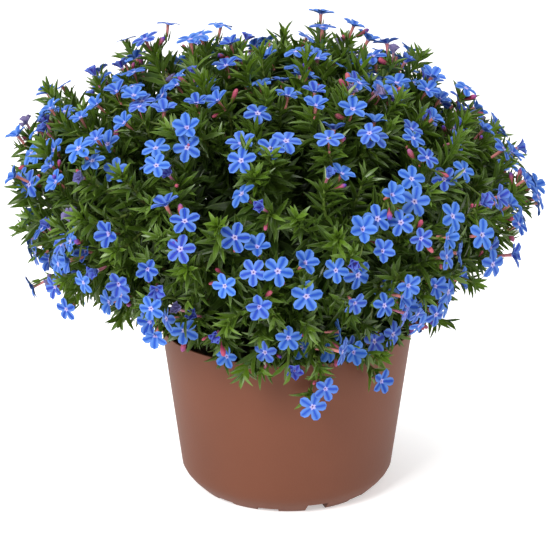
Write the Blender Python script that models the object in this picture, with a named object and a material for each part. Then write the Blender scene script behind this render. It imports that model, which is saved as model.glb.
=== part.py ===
"""Potted lithodora: a mound of leafy stems with five-lobed blue blooms in a thin-walled pot.

The pot stands on z = 0 with its axis on the Z axis. The stems stand in holes in the soil, rise
to a crown point above the pot and fan out from it. Each leafy stem keeps to its own cone of
directions round the crown point, so no stem, leaf or bloom crosses a neighbour.
"""
import math
import random

import bmesh
import bpy
from mathutils import Vector
from mathutils.bvhtree import BVHTree

# Pot, in metres
POT_TOP_RADIUS = 0.0650
POT_CORNER_RADIUS = 0.0540
POT_FOOT_RADIUS = 0.0460
POT_HEIGHT = 0.0860
POT_CORNER_HEIGHT = 0.0110
POT_WALL = 0.0014
POT_FLOOR_HEIGHT = 0.0046
FOOT_RING_WIDTH = 0.0060
NOTCH_COUNT = 12
NOTCH_ANGLE = math.radians(13.5)
NOTCH_START = math.radians(-72.0)
DEEP_NOTCH = 0.0040
SHALLOW_NOTCH = 0.0015
DRAIN_COUNT = 6
DRAIN_RADIUS = 0.0036
DRAIN_CIRCLE = 0.0290

# Soil
GAP = 0.0003
SOIL_TOP = 0.0760
SOIL_SIDES = 24

# Mound of foliage
CROWN = Vector((0.0, 0.0, 0.1000))
MOUND_RADIUS = 0.1350
MOUND_HALF_HEIGHT = 0.0840
MOUND_CENTRE_HEIGHT = 0.1560
MOUND_LEAN = ((0.080, -0.016), (0.150, -0.005), (0.205, -0.009), (0.250, 0.004))
LOWEST_STEM_UP = -0.08
LOWEST_BLOOM_UP = -0.13
RIM_SLOPE = 0.20
CELL_MARGIN = 0.00025
WELD_DISTANCE = 1.0e-7
FIRST_SEED = 500
SHOOT_TRIES = 12
WHOLE_TRIES = 4
SHORT_TRIES = 3
GOLDEN_ANGLE = math.pi * (3.0 - math.sqrt(5.0))

# Main stems
STEM_COUNT = 46
STEM_SIDES = 4
STEM_RADIUS = 0.0013
ROOT_CIRCLE = 0.0440
ROOT_DEPTH = 0.0080
ROOT_RISE = 0.0025
ENTRY_DISTANCE = 0.0560
CORE_RADIUS = 0.0210
CORE_STEP = 0.05
CORE_REACH = (0.56, 0.77, 0.86)

# Shoots, leaves and blooms
BLOOM_COUNT = 184
SHOOT_SIDES = 3
SHOOT_RADIUS = 0.0010
LEAVES_PER_WHORL = 4
LEAF_LENGTH = (0.0125, 0.0175)
LEAF_BASE = 0.0021
LEAF_HALF_THICKNESS = 0.0008
BLOOM_RADIUS = 0.0074
BLOOM_NOTCH_RADIUS = 0.0042
BLOOM_LOBES = 5
TUBE_LENGTH = 0.0085
TUBE_MOUTH = 0.0012
BLOOM_SPACING = 0.0165
LEAF_TRIES = 22
LEAF_LIFT = (-0.1, 0.74)
MOST_SITES = 6
LOWEST_START = 0.56
STRAIGHTEST = 0.75
ELBOW = 0.0060
START_SHIFT = 0.0020
LEAF_ROOM = 0.0045
JOINT_CLEARANCE = 0.0045
BLOOM_THICKNESS = 0.0011
HANGING = ((-74.5, 0.0780), (-82.0, 0.0700), (-48.0, 0.0800), (25.0, 0.0750), (95.0, 0.0780),
           (150.0, 0.0730), (215.0, 0.0770))
HANGING_RADIUS = 0.0780
HANGING_JOINT = 0.0725
WALL_CLEARANCE = 0.0665


def make_material(name, colour, roughness):
    """A plain Principled material with one colour."""
    material = bpy.data.materials.new(name)
    material.use_nodes = True
    shader = material.node_tree.nodes["Principled BSDF"]
    shader.inputs["Base Color"].default_value = (*colour, 1.0)
    shader.inputs["Roughness"].default_value = roughness
    shader.inputs["Metallic"].default_value = 0.0
    return material


def link_mesh(name, bm, materials, parent=None):
    """Turn a bmesh into a named object."""
    mesh = bpy.data.meshes.new(name)
    bm.to_mesh(mesh)
    bm.free()
    piece = bpy.data.objects.new(name, mesh)
    for material in materials:
        mesh.materials.append(material)
    bpy.context.scene.collection.objects.link(piece)
    if parent is not None:
        piece.parent = parent
    return piece


def bake_modifiers(piece):
    """Replace an object's mesh with what its modifiers make of it."""
    depsgraph = bpy.context.evaluated_depsgraph_get()
    finished = bpy.data.meshes.new_from_object(piece.evaluated_get(depsgraph))
    piece.modifiers.clear()
    rough = piece.data
    piece.data = finished
    finished.name = piece.name
    bpy.data.meshes.remove(rough)


def combine(piece, others, operation):
    """Join other objects to a piece, or cut them from it, and remove them."""
    group = bpy.data.collections.new("group")
    bpy.context.scene.collection.children.link(group)
    for other in others:
        group.objects.link(other)
    modifier = piece.modifiers.new(operation.title(), "BOOLEAN")
    modifier.operation = operation
    modifier.operand_type = "COLLECTION"
    modifier.collection = group
    modifier.solver = "EXACT"
    bake_modifiers(piece)
    for other in others:
        bpy.data.objects.remove(other)
    bpy.data.collections.remove(group)


def lathe(profile, angles):
    """Turn a closed (radius, height) outline round the Z axis, with a column at each angle."""
    bm = bmesh.new()
    columns = []
    axis_points = {}
    for angle in angles:
        column = []
        for index, (radius, height) in enumerate(profile):
            if radius == 0.0:
                if index not in axis_points:
                    axis_points[index] = bm.verts.new((0.0, 0.0, height))
                column.append(axis_points[index])
            else:
                place = (radius * math.cos(angle), radius * math.sin(angle), height)
                column.append(bm.verts.new(place))
        columns.append(column)
    steps = len(profile)
    for this, following in zip(columns, columns[1:] + columns[:1]):
        for index in range(steps):
            after = (index + 1) % steps
            corners = [this[index], following[index], following[after], this[after]]
            face = []
            for corner in corners:
                if corner not in face:
                    face.append(corner)
            if len(face) > 2:
                bm.faces.new(face)
    bmesh.ops.recalc_face_normals(bm, faces=bm.faces)
    return bm


def prism(centre, radius, low, high, sides, turn=0.0):
    """An upright prism."""
    bm = bmesh.new()
    rings = []
    for height in (low, high):
        ring = []
        for index in range(sides):
            angle = turn + 2.0 * math.pi * index / sides
            ring.append(bm.verts.new((centre[0] + radius * math.cos(angle),
                                      centre[1] + radius * math.sin(angle), height)))
        rings.append(ring)
    bm.faces.new(rings[0])
    bm.faces.new(rings[1])
    for index in range(sides):
        after = (index + 1) % sides
        bm.faces.new((rings[0][index], rings[0][after], rings[1][after], rings[1][index]))
    bmesh.ops.recalc_face_normals(bm, faces=bm.faces)
    return bm


def notch_cutter(centre_angle, depth):
    """A wedge that cuts one notch up into the foot ring."""
    below = -0.004
    inner = POT_FOOT_RADIUS - 2.0 * FOOT_RING_WIDTH
    outer = POT_TOP_RADIUS
    bm = bmesh.new()
    corners = []
    for height in (below, depth):
        for radius, side in ((inner, -1), (outer, -1), (outer, 1), (inner, 1)):
            angle = centre_angle + side * NOTCH_ANGLE / 2.0
            corners.append(bm.verts.new((radius * math.cos(angle),
                                         radius * math.sin(angle), height)))
    bm.faces.new(corners[:4])
    bm.faces.new(corners[4:])
    for index in range(4):
        after = (index + 1) % 4
        bm.faces.new((corners[index], corners[after], corners[4 + after], corners[4 + index]))
    bmesh.ops.recalc_face_normals(bm, faces=bm.faces)
    return bm


def pot_wall_radius(height):
    """Outer radius of the straight tapered wall."""
    share = (height - POT_CORNER_HEIGHT) / (POT_HEIGHT - POT_CORNER_HEIGHT)
    return POT_CORNER_RADIUS + share * (POT_TOP_RADIUS - POT_CORNER_RADIUS)


def make_pot(root):
    """Thin tapered pot with a rounded lower corner, a notched foot ring and drain holes."""
    floor_top = POT_FLOOR_HEIGHT + POT_WALL
    ring_inner = POT_FOOT_RADIUS - FOOT_RING_WIDTH
    profile = [
        (0.0, POT_FLOOR_HEIGHT),
        (ring_inner - 0.002, POT_FLOOR_HEIGHT),
        (ring_inner, 0.0),
        (POT_FOOT_RADIUS, 0.0),
        (0.0505, 0.0050),
        (POT_CORNER_RADIUS, POT_CORNER_HEIGHT),
        (POT_TOP_RADIUS, POT_HEIGHT),
        (POT_TOP_RADIUS - POT_WALL, POT_HEIGHT),
        (POT_CORNER_RADIUS - POT_WALL, POT_CORNER_HEIGHT + 0.0005),
        (0.0485, floor_top),
        (0.0, floor_top),
    ]
    pitch = 2.0 * math.pi / NOTCH_COUNT
    angles = []
    for index in range(NOTCH_COUNT):
        notch = NOTCH_START + index * pitch
        angles += [notch - NOTCH_ANGLE / 2.0, notch + NOTCH_ANGLE / 2.0, notch + pitch / 2.0]
    colour = (0.262, 0.102, 0.065)
    pot = link_mesh("pot", lathe(profile, angles), [make_material("pot", colour, 0.6)], root)
    cutters = []
    for index in range(NOTCH_COUNT):
        depth = DEEP_NOTCH if index % 3 == 0 else SHALLOW_NOTCH
        cutters.append(link_mesh("cutter", notch_cutter(NOTCH_START + index * pitch, depth), []))
    for index in range(DRAIN_COUNT):
        angle = 2.0 * math.pi * (index + 0.5) / DRAIN_COUNT
        centre = (DRAIN_CIRCLE * math.cos(angle), DRAIN_CIRCLE * math.sin(angle))
        hole = prism(centre, DRAIN_RADIUS, POT_FLOOR_HEIGHT / 2.0, 2.0 * floor_top, 6)
        cutters.append(link_mesh("cutter", hole, []))
    combine(pot, cutters, "DIFFERENCE")
    return pot


def make_soil(root, stem_roots):
    """Block of potting soil that fills the pot, with a blind hole for each main stem."""
    floor = POT_FLOOR_HEIGHT + POT_WALL + GAP
    wall_gap = POT_WALL + 2.5 * GAP
    profile = [
        (0.0, floor),
        (0.0475, floor),
        (POT_CORNER_RADIUS - wall_gap, POT_CORNER_HEIGHT + 0.001),
        (pot_wall_radius(SOIL_TOP) - wall_gap, SOIL_TOP),
        (0.0, SOIL_TOP),
    ]
    angles = [2.0 * math.pi * index / SOIL_SIDES for index in range(SOIL_SIDES)]
    material = make_material("soil", (0.035, 0.022, 0.014), 0.95)
    soil = link_mesh("soil", lathe(profile, angles), [material], root)
    holes = []
    for place, turn in stem_roots:
        hole = prism(place, STEM_RADIUS + 1.5 * GAP, SOIL_TOP - ROOT_DEPTH - GAP,
                     SOIL_TOP + 0.01, STEM_SIDES, turn)
        holes.append(link_mesh("hole", hole, []))
    combine(soil, holes, "DIFFERENCE")
    return soil


def lean_at(height):
    """Sideways shift of the mound's middle at a height."""
    for (low, shift_low), (high, shift_high) in zip(MOUND_LEAN, MOUND_LEAN[1:]):
        if height <= high:
            share = max(0.0, (height - low) / (high - low))
            return shift_low + share * (shift_high - shift_low)
    return MOUND_LEAN[-1][1]


def mound_reach(direction):
    """Distance from the crown point to the mound's surface."""
    near, far = 0.02, 0.30
    for _ in range(30):
        middle = (near + far) / 2.0
        point = CROWN + direction * middle
        across = ((point.x - lean_at(point.z)) / MOUND_RADIUS) ** 2
        depth = (point.y / MOUND_RADIUS) ** 2
        rise = ((point.z - MOUND_CENTRE_HEIGHT) / MOUND_HALF_HEIGHT) ** 2
        if across + depth + rise < 1.0:
            near = middle
        else:
            far = middle
    return near


def mound_normal(point):
    """Outward direction of the mound's surface."""
    return Vector(((point.x - lean_at(point.z)) / MOUND_RADIUS ** 2,
                   point.y / MOUND_RADIUS ** 2,
                   (point.z - MOUND_CENTRE_HEIGHT) / MOUND_HALF_HEIGHT ** 2)).normalized()


def fan(count, turn, lowest_up):
    """Directions spread evenly from straight up down to a lowest upward part."""
    directions = []
    for index in range(count):
        up = 1.0 - (index + 0.5) / count * (1.0 - lowest_up)
        angle = turn + index * GOLDEN_ANGLE
        side = math.sqrt(1.0 - up * up)
        directions.append(Vector((side * math.cos(angle), side * math.sin(angle), up)))
    return directions


def side_planes(directions, index):
    """Sides of one stem's cone of directions: (inward normal, offset from the crown point)."""
    own = directions[index]
    return [((own - other).normalized(), CELL_MARGIN) for other in directions if other is not own]


def cell_planes(directions, index):
    """The sides of one stem's cone and the slope that passes over the pot's rim."""
    own = directions[index]
    flat = Vector((own.x, own.y, 0.0)).normalized()
    slope = Vector((RIM_SLOPE * flat.x, RIM_SLOPE * flat.y, 1.0)).normalized()
    return side_planes(directions, index) + [(slope, CELL_MARGIN)]


def pull_inside(point, anchor, planes):
    """Draw a point towards an anchor until it lies inside all the planes."""
    share = 1.0
    for normal, offset in planes:
        here = (point - CROWN).dot(normal) - offset
        start = (anchor - CROWN).dot(normal) - offset
        if here < 0.0 and start > here:
            share = min(share, max(0.0, start / (start - here)))
    return anchor + (point - anchor) * share


def push_inside(point, planes, room):
    """Shift a point until it stands clear of all the planes."""
    for _ in range(12):
        for normal, offset in planes:
            short = room + offset - (point - CROWN).dot(normal)
            if short > 0.0:
                point = point + normal * short
    return point


def frame_axes(axis):
    """Two directions square to an axis."""
    helper = Vector((0.0, 0.0, 1.0)) if abs(axis.z) < 0.9 else Vector((1.0, 0.0, 0.0))
    first = axis.cross(helper).normalized()
    return first, axis.cross(first).normalized()


def ring(bm, centre, axis, side, radius, sides):
    """Corners round a point, the first of them towards the given side."""
    first = (side - axis * side.dot(axis)).normalized()
    second = axis.cross(first)
    corners = []
    for index in range(sides):
        angle = 2.0 * math.pi * index / sides
        offset = first * math.cos(angle) + second * math.sin(angle)
        corners.append(bm.verts.new(centre + offset * radius))
    return corners


def bridge(bm, lower, upper, material_index):
    """Triangles between two loops with any numbers of corners."""
    low, high = 0, 0
    while low < len(lower) or high < len(upper):
        step_low = (low + 1) / len(lower)
        step_high = (high + 1) / len(upper)
        a = lower[low % len(lower)]
        b = upper[high % len(upper)]
        if high >= len(upper) or (low < len(lower) and step_low <= step_high):
            face = bm.faces.new((a, lower[(low + 1) % len(lower)], b))
            low += 1
        else:
            face = bm.faces.new((a, upper[(high + 1) % len(upper)], b))
            high += 1
        face.material_index = material_index


def leaf_samples(centre, tip):
    """Points along the outer part of a leaf."""
    return [centre.lerp(tip, share) for share in (0.45, 0.70, 0.85, 1.0)]


def clearance(points, taken):
    """Smallest distance between two sets of points."""
    return min(((a - b).length for a in points for b in taken), default=1.0)


def whorl(bm, centre, axis, draw, planes, taken):
    """Corners of a whorl of leaves: a corner between leaves and a tip for each leaf.

    Each leaf takes the freest of a few random directions, clear of the points already taken.
    """
    first, second = frame_axes(axis)
    corners = []
    grown = []
    for index in range(LEAVES_PER_WHORL):
        angle = 2.0 * math.pi * index / LEAVES_PER_WHORL
        between = first * math.cos(angle) + second * math.sin(angle)
        corners.append(bm.verts.new(centre + between * LEAF_BASE))
        best, best_room = None, -1.0
        for _ in range(LEAF_TRIES):
            tip_angle = angle + math.pi / LEAVES_PER_WHORL + draw.uniform(-0.35, 0.35)
            out = first * math.cos(tip_angle) + second * math.sin(tip_angle)
            lift = draw.uniform(*LEAF_LIFT)
            aim = out * math.cos(lift) + axis * math.sin(lift)
            tip = pull_inside(centre + aim * draw.uniform(*LEAF_LENGTH), centre, planes)
            room = min(clearance(leaf_samples(centre, tip), taken), LEAF_ROOM)
            room += 0.25 * (tip - centre).length
            if room > best_room:
                best, best_room = tip, room
        grown += leaf_samples(centre, best)
        corners.append(bm.verts.new(best))
    taken += grown
    return corners


def bloom_rim(bm, centre, axis):
    """Corners of a bloom's five lobes."""
    first, second = frame_axes(axis)
    corners = []
    for index in range(2 * BLOOM_LOBES):
        angle = math.pi * index / BLOOM_LOBES
        radius = BLOOM_RADIUS if index % 2 else BLOOM_NOTCH_RADIUS
        offset = first * math.cos(angle) + second * math.sin(angle)
        corners.append(bm.verts.new(centre + offset * radius))
    return corners


def shoot_mesh(start, joint, bloom, axis, elbow, draw, planes, taken):
    """One shoot: a thin stem, a whorl of leaves, a flower tube and a five-lobed bloom."""
    bm = bmesh.new()
    along = (joint - axis * elbow - start).normalized()
    side = frame_axes(axis)[0]
    lower = ring(bm, start, along, side, SHOOT_RADIUS, SHOOT_SIDES)
    bm.faces.new(lower[::-1])
    if elbow > 0.0 and along.dot(axis) < STRAIGHTEST:
        bend = ring(bm, joint - axis * elbow, (along + axis).normalized(), side,
                    SHOOT_RADIUS, SHOOT_SIDES)
        bridge(bm, lower, bend, 0)
        lower = bend
    under = ring(bm, joint - axis * LEAF_HALF_THICKNESS, axis, side, SHOOT_RADIUS, SHOOT_SIDES)
    bridge(bm, lower, under, 0)
    leaves = whorl(bm, joint, axis, draw, planes, taken)
    bridge(bm, under, leaves, 0)
    over = ring(bm, joint + axis * LEAF_HALF_THICKNESS, axis, side, SHOOT_RADIUS, SHOOT_SIDES)
    bridge(bm, leaves, over, 0)
    mouth = ring(bm, bloom - axis * BLOOM_THICKNESS, axis, side, TUBE_MOUTH, SHOOT_SIDES)
    bridge(bm, over, mouth, 0)
    rim = bloom_rim(bm, bloom, axis)
    bridge(bm, mouth, rim, 1)
    eye = bm.verts.new(bloom - axis * 0.0002)
    for index in range(len(rim)):
        face = bm.faces.new((rim[index], rim[(index + 1) % len(rim)], eye))
        face.material_index = 1
    bmesh.ops.recalc_face_normals(bm, faces=bm.faces)
    return bm


def crosses_itself(bm):
    """Whether any two faces that share no corner cross."""
    solid = bm.copy()
    bmesh.ops.triangulate(solid, faces=solid.faces)
    solid.faces.ensure_lookup_table()
    tree = BVHTree.FromBMesh(solid)
    corners = [{corner.index for corner in face.verts} for face in solid.faces]
    solid.free()
    return any(not corners[one] & corners[other] for one, other in tree.overlap(tree))


def sound_shoot_mesh(start, joint, bloom, axis, elbow, draw, planes, taken):
    """A shoot whose leaves stay clear of its own bloom and stem."""
    for _ in range(SHOOT_TRIES):
        grown = list(taken)
        bm = shoot_mesh(start, joint, bloom, axis, elbow, draw, planes, grown)
        if not crosses_itself(bm):
            break
    taken[:] = grown
    return bm


def main_stem_mesh(root, turn, direction, reach, core, planes):
    """A main stem from its root in the soil up to the mound, thickened into a leafy core."""
    bm = bmesh.new()
    upright = Vector((0.0, 0.0, 1.0))
    stations = [
        (root - upright * ROOT_DEPTH, upright, STEM_RADIUS),
        (root + upright * ROOT_RISE, upright, STEM_RADIUS),
        (CROWN + direction * ENTRY_DISTANCE, direction, STEM_RADIUS),
        (CROWN + direction * reach * CORE_REACH[0], direction, core * 0.75),
        (CROWN + direction * reach * CORE_REACH[1], direction, core),
    ]
    side = Vector((-math.sin(turn), math.cos(turn), 0.0))
    rings = []
    for number, (centre, axis, radius) in enumerate(stations):
        corners = ring(bm, centre, axis, side, radius, STEM_SIDES)
        if number > 1:
            for corner in corners:
                corner.co = pull_inside(corner.co, centre, planes)
        rings.append(corners)
    bm.faces.new(rings[0][::-1])
    for lower, upper in zip(rings, rings[1:]):
        bridge(bm, lower, upper, 0)
    tip = bm.verts.new(CROWN + direction * reach * CORE_REACH[2])
    for index in range(STEM_SIDES):
        bm.faces.new((rings[-1][index], rings[-1][(index + 1) % STEM_SIDES], tip))
    bmesh.ops.recalc_face_normals(bm, faces=bm.faces)
    return bm


def stem_root(direction):
    """Where a main stem stands in the soil, and the turn of its sides."""
    polar = math.acos(max(-1.0, min(1.0, direction.z)))
    widest = math.acos(LOWEST_STEM_UP)
    turn = math.atan2(direction.y, direction.x)
    radius = ROOT_CIRCLE * polar / widest
    return Vector((radius * math.cos(turn), radius * math.sin(turn), SOIL_TOP)), turn


def bloom_sites(directions):
    """Blooms of each main stem: (place of the bloom, direction that it faces)."""
    draw = random.Random(11)
    sites = [[] for _ in directions]
    for direction in fan(BLOOM_COUNT, 0.7, LOWEST_BLOOM_UP):
        jitter = Vector((draw.gauss(0, 0.045), draw.gauss(0, 0.045), draw.gauss(0, 0.045)))
        aim = (direction + jitter).normalized()
        if aim.z < LOWEST_BLOOM_UP:
            aim.z = LOWEST_BLOOM_UP
            aim.normalize()
        free = [index for index, own in enumerate(sites) if len(own) < MOST_SITES]
        owner = max(free, key=lambda index: aim.dot(directions[index]))
        reach = mound_reach(aim) * draw.uniform(0.90, 1.01)
        planes = cell_planes(directions, owner)
        place = push_inside(CROWN + aim * reach, planes, BLOOM_RADIUS + CELL_MARGIN)
        tilt = Vector((draw.gauss(0, 0.28), draw.gauss(0, 0.28), 0.35 + draw.gauss(0, 0.25)))
        facing = mound_normal(place) + tilt
        facing.z = max(facing.z, 0.0)
        facing.normalize()
        sites[owner].append((place, facing))
    for owner, own in enumerate(sites):
        spread(own, cell_planes(directions, owner))
    return sites


def spread(sites, planes):
    """Move the blooms of one stem apart, inside its own cone."""
    for _ in range(25):
        for one in range(len(sites)):
            for other in range(one):
                apart = sites[one][0] - sites[other][0]
                short = BLOOM_SPACING - apart.length
                if short > 0.0:
                    step = apart.normalized() * short * 0.5
                    sites[one] = (sites[one][0] + step, sites[one][1])
                    sites[other] = (sites[other][0] - step, sites[other][1])
        for one, (place, facing) in enumerate(sites):
            sites[one] = (push_inside(place, planes, BLOOM_RADIUS + CELL_MARGIN), facing)


def hanging_routes(directions):
    """Shoots that bend over the pot's rim and hang before its wall, for each main stem."""
    draw = random.Random(29)
    low_stems = [index for index, direction in enumerate(directions) if direction.z < 0.30]
    routes = [[] for _ in directions]
    for degrees, height in HANGING:
        turn = math.radians(degrees)
        out = Vector((math.cos(turn), math.sin(turn), 0.0))
        owner = max(low_stems, key=lambda index: out.dot(directions[index]))
        walls = side_planes(directions, owner) + [(out, WALL_CLEARANCE)]
        upright = Vector((0.0, 0.0, height))
        bloom = push_inside(out * HANGING_RADIUS + upright, walls, BLOOM_RADIUS)
        facing = (out + Vector((0.0, 0.0, draw.uniform(-0.1, 0.3)))).normalized()
        joint = out * HANGING_JOINT + upright + Vector((0.0, 0.0, 0.0060))
        joint = push_inside(joint, walls, JOINT_CLEARANCE)
        direction = directions[owner]
        start = CROWN + direction * mound_reach(direction) * CORE_REACH[0]
        routes[owner].append((start, joint, bloom, facing, 0.0, walls))
    return routes


def shoot_routes(direction, reach, sites, planes):
    """Start, whorl, bloom and facing of each shoot; the widest shoots leave the stem first."""
    ranked = sorted(sites, key=lambda site: (site[0] - CROWN).normalized().dot(direction))
    routes = []
    for number, (bloom, facing) in enumerate(ranked):
        joint = push_inside(bloom - facing * TUBE_LENGTH, planes, JOINT_CLEARANCE)
        share = LOWEST_START + (number + 0.5) / len(ranked) * (CORE_REACH[1] - LOWEST_START)
        start = CROWN + direction * reach * share
        while share > LOWEST_START and (joint - start).normalized().dot(facing) < STRAIGHTEST:
            share -= 0.02
            start = CROWN + direction * reach * share
        routes.append((start, joint, bloom, facing, ELBOW, planes))
    return routes


def bloom_samples(bloom, facing):
    """Points over a bloom's face."""
    first, second = frame_axes(facing)
    points = [bloom, bloom - facing * TUBE_LENGTH * 0.5]
    for index in range(6):
        angle = math.pi * index / 3.0
        offset = first * math.cos(angle) + second * math.sin(angle)
        points.append(bloom + offset * BLOOM_RADIUS * 0.85)
    return points


def is_one_clean_body(piece):
    """Whether a mesh is one closed body that touches itself nowhere."""
    bm = bmesh.new()
    bm.from_mesh(piece.data)
    bmesh.ops.remove_doubles(bm, verts=bm.verts, dist=WELD_DISTANCE)
    clean = all(len(edge.link_faces) == 2 for edge in bm.edges)
    reached = set()
    waiting = [bm.verts[:][0]]
    while waiting:
        corner = waiting.pop()
        if corner not in reached:
            reached.add(corner)
            waiting += [edge.other_vert(corner) for edge in corner.link_edges]
    clean = clean and len(reached) == len(bm.verts)
    bm.free()
    return clean


def grow_leafy_stem(name, seed, core, index, directions, routes, root, materials):
    """One main stem with its shoots, leaves and blooms, joined into one body."""
    draw = random.Random(seed)
    direction = directions[index]
    planes = cell_planes(directions, index)
    place, turn = stem_root(direction)
    mesh = main_stem_mesh(place, turn, direction, mound_reach(direction), core, planes)
    stem = link_mesh(name, mesh, materials, root)
    taken = []
    for start, joint, bloom, facing, _, _ in routes:
        taken += [start.lerp(joint, step / 6.0) for step in range(2, 6)]
        taken += bloom_samples(bloom, facing)
    shoots = []
    for number, (start, *route, walls) in enumerate(routes):
        start = start + direction * draw.uniform(-START_SHIFT, START_SHIFT)
        mesh = sound_shoot_mesh(start, *route, draw, walls, taken)
        shoots.append(link_mesh(f"{name}_shoot_{number}", mesh, materials))
    combine(stem, shoots, "UNION")
    return stem


def make_leafy_stem(name, index, directions, routes, root, materials):
    """Grow a stem, with other leaves and a slimmer core, or a shoot less, where a leaf grazes."""
    for attempt in range(WHOLE_TRIES + SHORT_TRIES * len(routes)):
        seed = FIRST_SEED + index + attempt * STEM_COUNT
        core = CORE_RADIUS * (1.0 - CORE_STEP * (attempt % WHOLE_TRIES))
        kept = list(routes)
        if attempt >= WHOLE_TRIES:
            kept.pop((attempt - WHOLE_TRIES) % len(routes))
        stem = grow_leafy_stem(name, seed, core, index, directions, kept, root, materials)
        if is_one_clean_body(stem):
            return
        bpy.data.objects.remove(stem)
    raise RuntimeError(f"{name} has no clean form")


def stand_on_origin(root):
    """Put the middle of the whole plant's footprint on the Z axis."""
    bpy.context.view_layer.update()
    places = []
    for piece in root.children:
        places += [piece.matrix_world @ Vector(corner) for corner in piece.bound_box]
    for axis in range(2):
        spots = [place[axis] for place in places]
        root.location[axis] = -(min(spots) + max(spots)) / 2.0


def main():
    for old in list(bpy.data.objects):
        bpy.data.objects.remove(old)
    root = bpy.data.objects.new("lithodora", None)
    bpy.context.scene.collection.objects.link(root)
    directions = fan(STEM_COUNT, 0.0, LOWEST_STEM_UP)
    make_pot(root)
    make_soil(root, [stem_root(direction) for direction in directions])
    leaf = make_material("leaf", (0.045, 0.115, 0.022), 0.6)
    petal = make_material("petal", (0.115, 0.305, 0.860), 0.5)
    sites = bloom_sites(directions)
    hanging = hanging_routes(directions)
    for index, direction in enumerate(directions):
        planes = cell_planes(directions, index)
        routes = shoot_routes(direction, mound_reach(direction), sites[index], planes)
        name = f"leafy_stem_{index + 1:02d}"
        make_leafy_stem(name, index, directions, routes + hanging[index], root, [leaf, petal])
    stand_on_origin(root)


main()
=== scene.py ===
"""Potted lithodora: its pot, soil, stems, narrow leaves, five-lobed blooms and buds.

Everything stands in the frame's own coordinates. The plant grows round the pot's axis from the
same stem directions and bloom places as the solid model. Lengths are in metres.
"""

import collections
import functools
import math
import random

import bmesh
import bpy
import numpy as np
from bpy.props import FloatProperty, FloatVectorProperty, IntProperty, PointerProperty
from mathutils import Matrix, Vector, noise
from mathutils.kdtree import KDTree


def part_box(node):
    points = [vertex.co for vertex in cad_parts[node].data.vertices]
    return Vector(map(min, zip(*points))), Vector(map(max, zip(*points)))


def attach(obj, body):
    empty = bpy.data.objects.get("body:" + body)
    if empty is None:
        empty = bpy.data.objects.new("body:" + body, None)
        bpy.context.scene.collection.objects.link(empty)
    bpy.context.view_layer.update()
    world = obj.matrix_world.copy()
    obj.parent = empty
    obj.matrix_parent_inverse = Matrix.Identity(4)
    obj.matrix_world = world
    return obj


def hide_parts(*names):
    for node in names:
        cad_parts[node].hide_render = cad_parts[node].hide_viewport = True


bl_info = {
    "name": "Potted Lithodora",
    "version": (1, 0, 0),
    "blender": (4, 5, 0),
    "location": "3D View > Sidebar > Lithodora",
    "description": "Builds a lithodora plant in its pot, piece by piece",
    "category": "Add Mesh",
}

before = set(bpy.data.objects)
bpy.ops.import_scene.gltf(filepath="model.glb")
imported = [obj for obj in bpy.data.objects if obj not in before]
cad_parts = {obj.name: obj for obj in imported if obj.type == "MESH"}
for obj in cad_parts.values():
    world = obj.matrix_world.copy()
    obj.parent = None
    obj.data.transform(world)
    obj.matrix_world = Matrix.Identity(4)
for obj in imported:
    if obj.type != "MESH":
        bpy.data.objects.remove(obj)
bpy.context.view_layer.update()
FULL_TURN = 2.0 * math.pi
GOLDEN_ANGLE = math.pi * (3.0 - math.sqrt(5.0))
UP = Vector((0.0, 0.0, 1.0))
TINY = 1.0e-6

# Pot
POT_LOW, POT_HIGH = (Vector(corner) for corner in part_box("pot"))
POT_AXIS = Vector(((POT_LOW.x + POT_HIGH.x) / 2.0, (POT_LOW.y + POT_HIGH.y) / 2.0, 0.0))
POT_HEIGHT = POT_HIGH.z
POT_TOP_RADIUS = 0.0650
POT_CORNER_RADIUS = 0.0552
POT_CORNER_HEIGHT = 0.0105
POT_FOOT_RADIUS = 0.0468
POT_WALL = 0.0014
POT_FLOOR_HEIGHT = 0.0046
FOOT_RING_WIDTH = 0.0060
NOTCH_COUNT = 12
NOTCHES_TO_A_DEEP_ONE = 3
NOTCH_START = math.radians(-72.0)
NOTCH_ANGLE = math.radians(13.5)
DEEP_NOTCH = 0.0050
SHALLOW_NOTCH = 0.0019
DRAIN_COUNT = 6
DRAIN_RADIUS = 0.0036
DRAIN_CIRCLE = 0.0290
POT_COLUMNS = 160
RIM_CLEARANCE = 0.0015
WALL_CLEARANCE = 0.0030

# Soil
SOIL_TOP = Vector(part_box("soil")[1]).z
SOIL_GAP = 0.0021
SOIL_LIFT = 0.0003
SOIL_FLOOR_RADIUS = 0.0475
SOIL_COLUMNS = 72
SOIL_RINGS = 22
LUMP_FREQUENCY, LUMP_HEIGHT = 160.0, 0.0018
CLOD_FREQUENCY, CLOD_HEIGHT = 420.0, 0.0022
SOIL_SINK = 0.0008

# Mound of foliage, round the pot's axis
CROWN = Vector((0.0, 0.0, 0.1000))
MOUND_RADIUS = 0.1350
MOUND_HALF_HEIGHT = 0.0840
MOUND_CENTRE_HEIGHT = 0.1560
MOUND_LEAN = ((0.080, -0.016), (0.150, -0.005), (0.205, -0.009), (0.250, 0.004))

# Main stems
STEM_COUNT = 46
NODES = [f"leafy_stem_{index + 1:02d}" for index in range(STEM_COUNT)]
QUARTERS = 4
LOWEST_STEM_UP = -0.08
LOW_STEM_UP = 0.30
RIM_SLOPE = 0.20
CELL_MARGIN = 0.00025
ROOT_CIRCLE = 0.0440
ROOT_DEPTH = 0.0080
ENTRY_DISTANCE = 0.0560
ROOT_PULL, ENTRY_PULL = 0.45, 0.30
ROOT_POINTS, STEM_STEPS = 8, 6
STEM_REACH = 0.80
STEM_LEAFY = (0.32, 0.94)
STEM_LEAF_SPACING = 0.0013
STEM_RADII = (0.0014, 0.0010)

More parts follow.
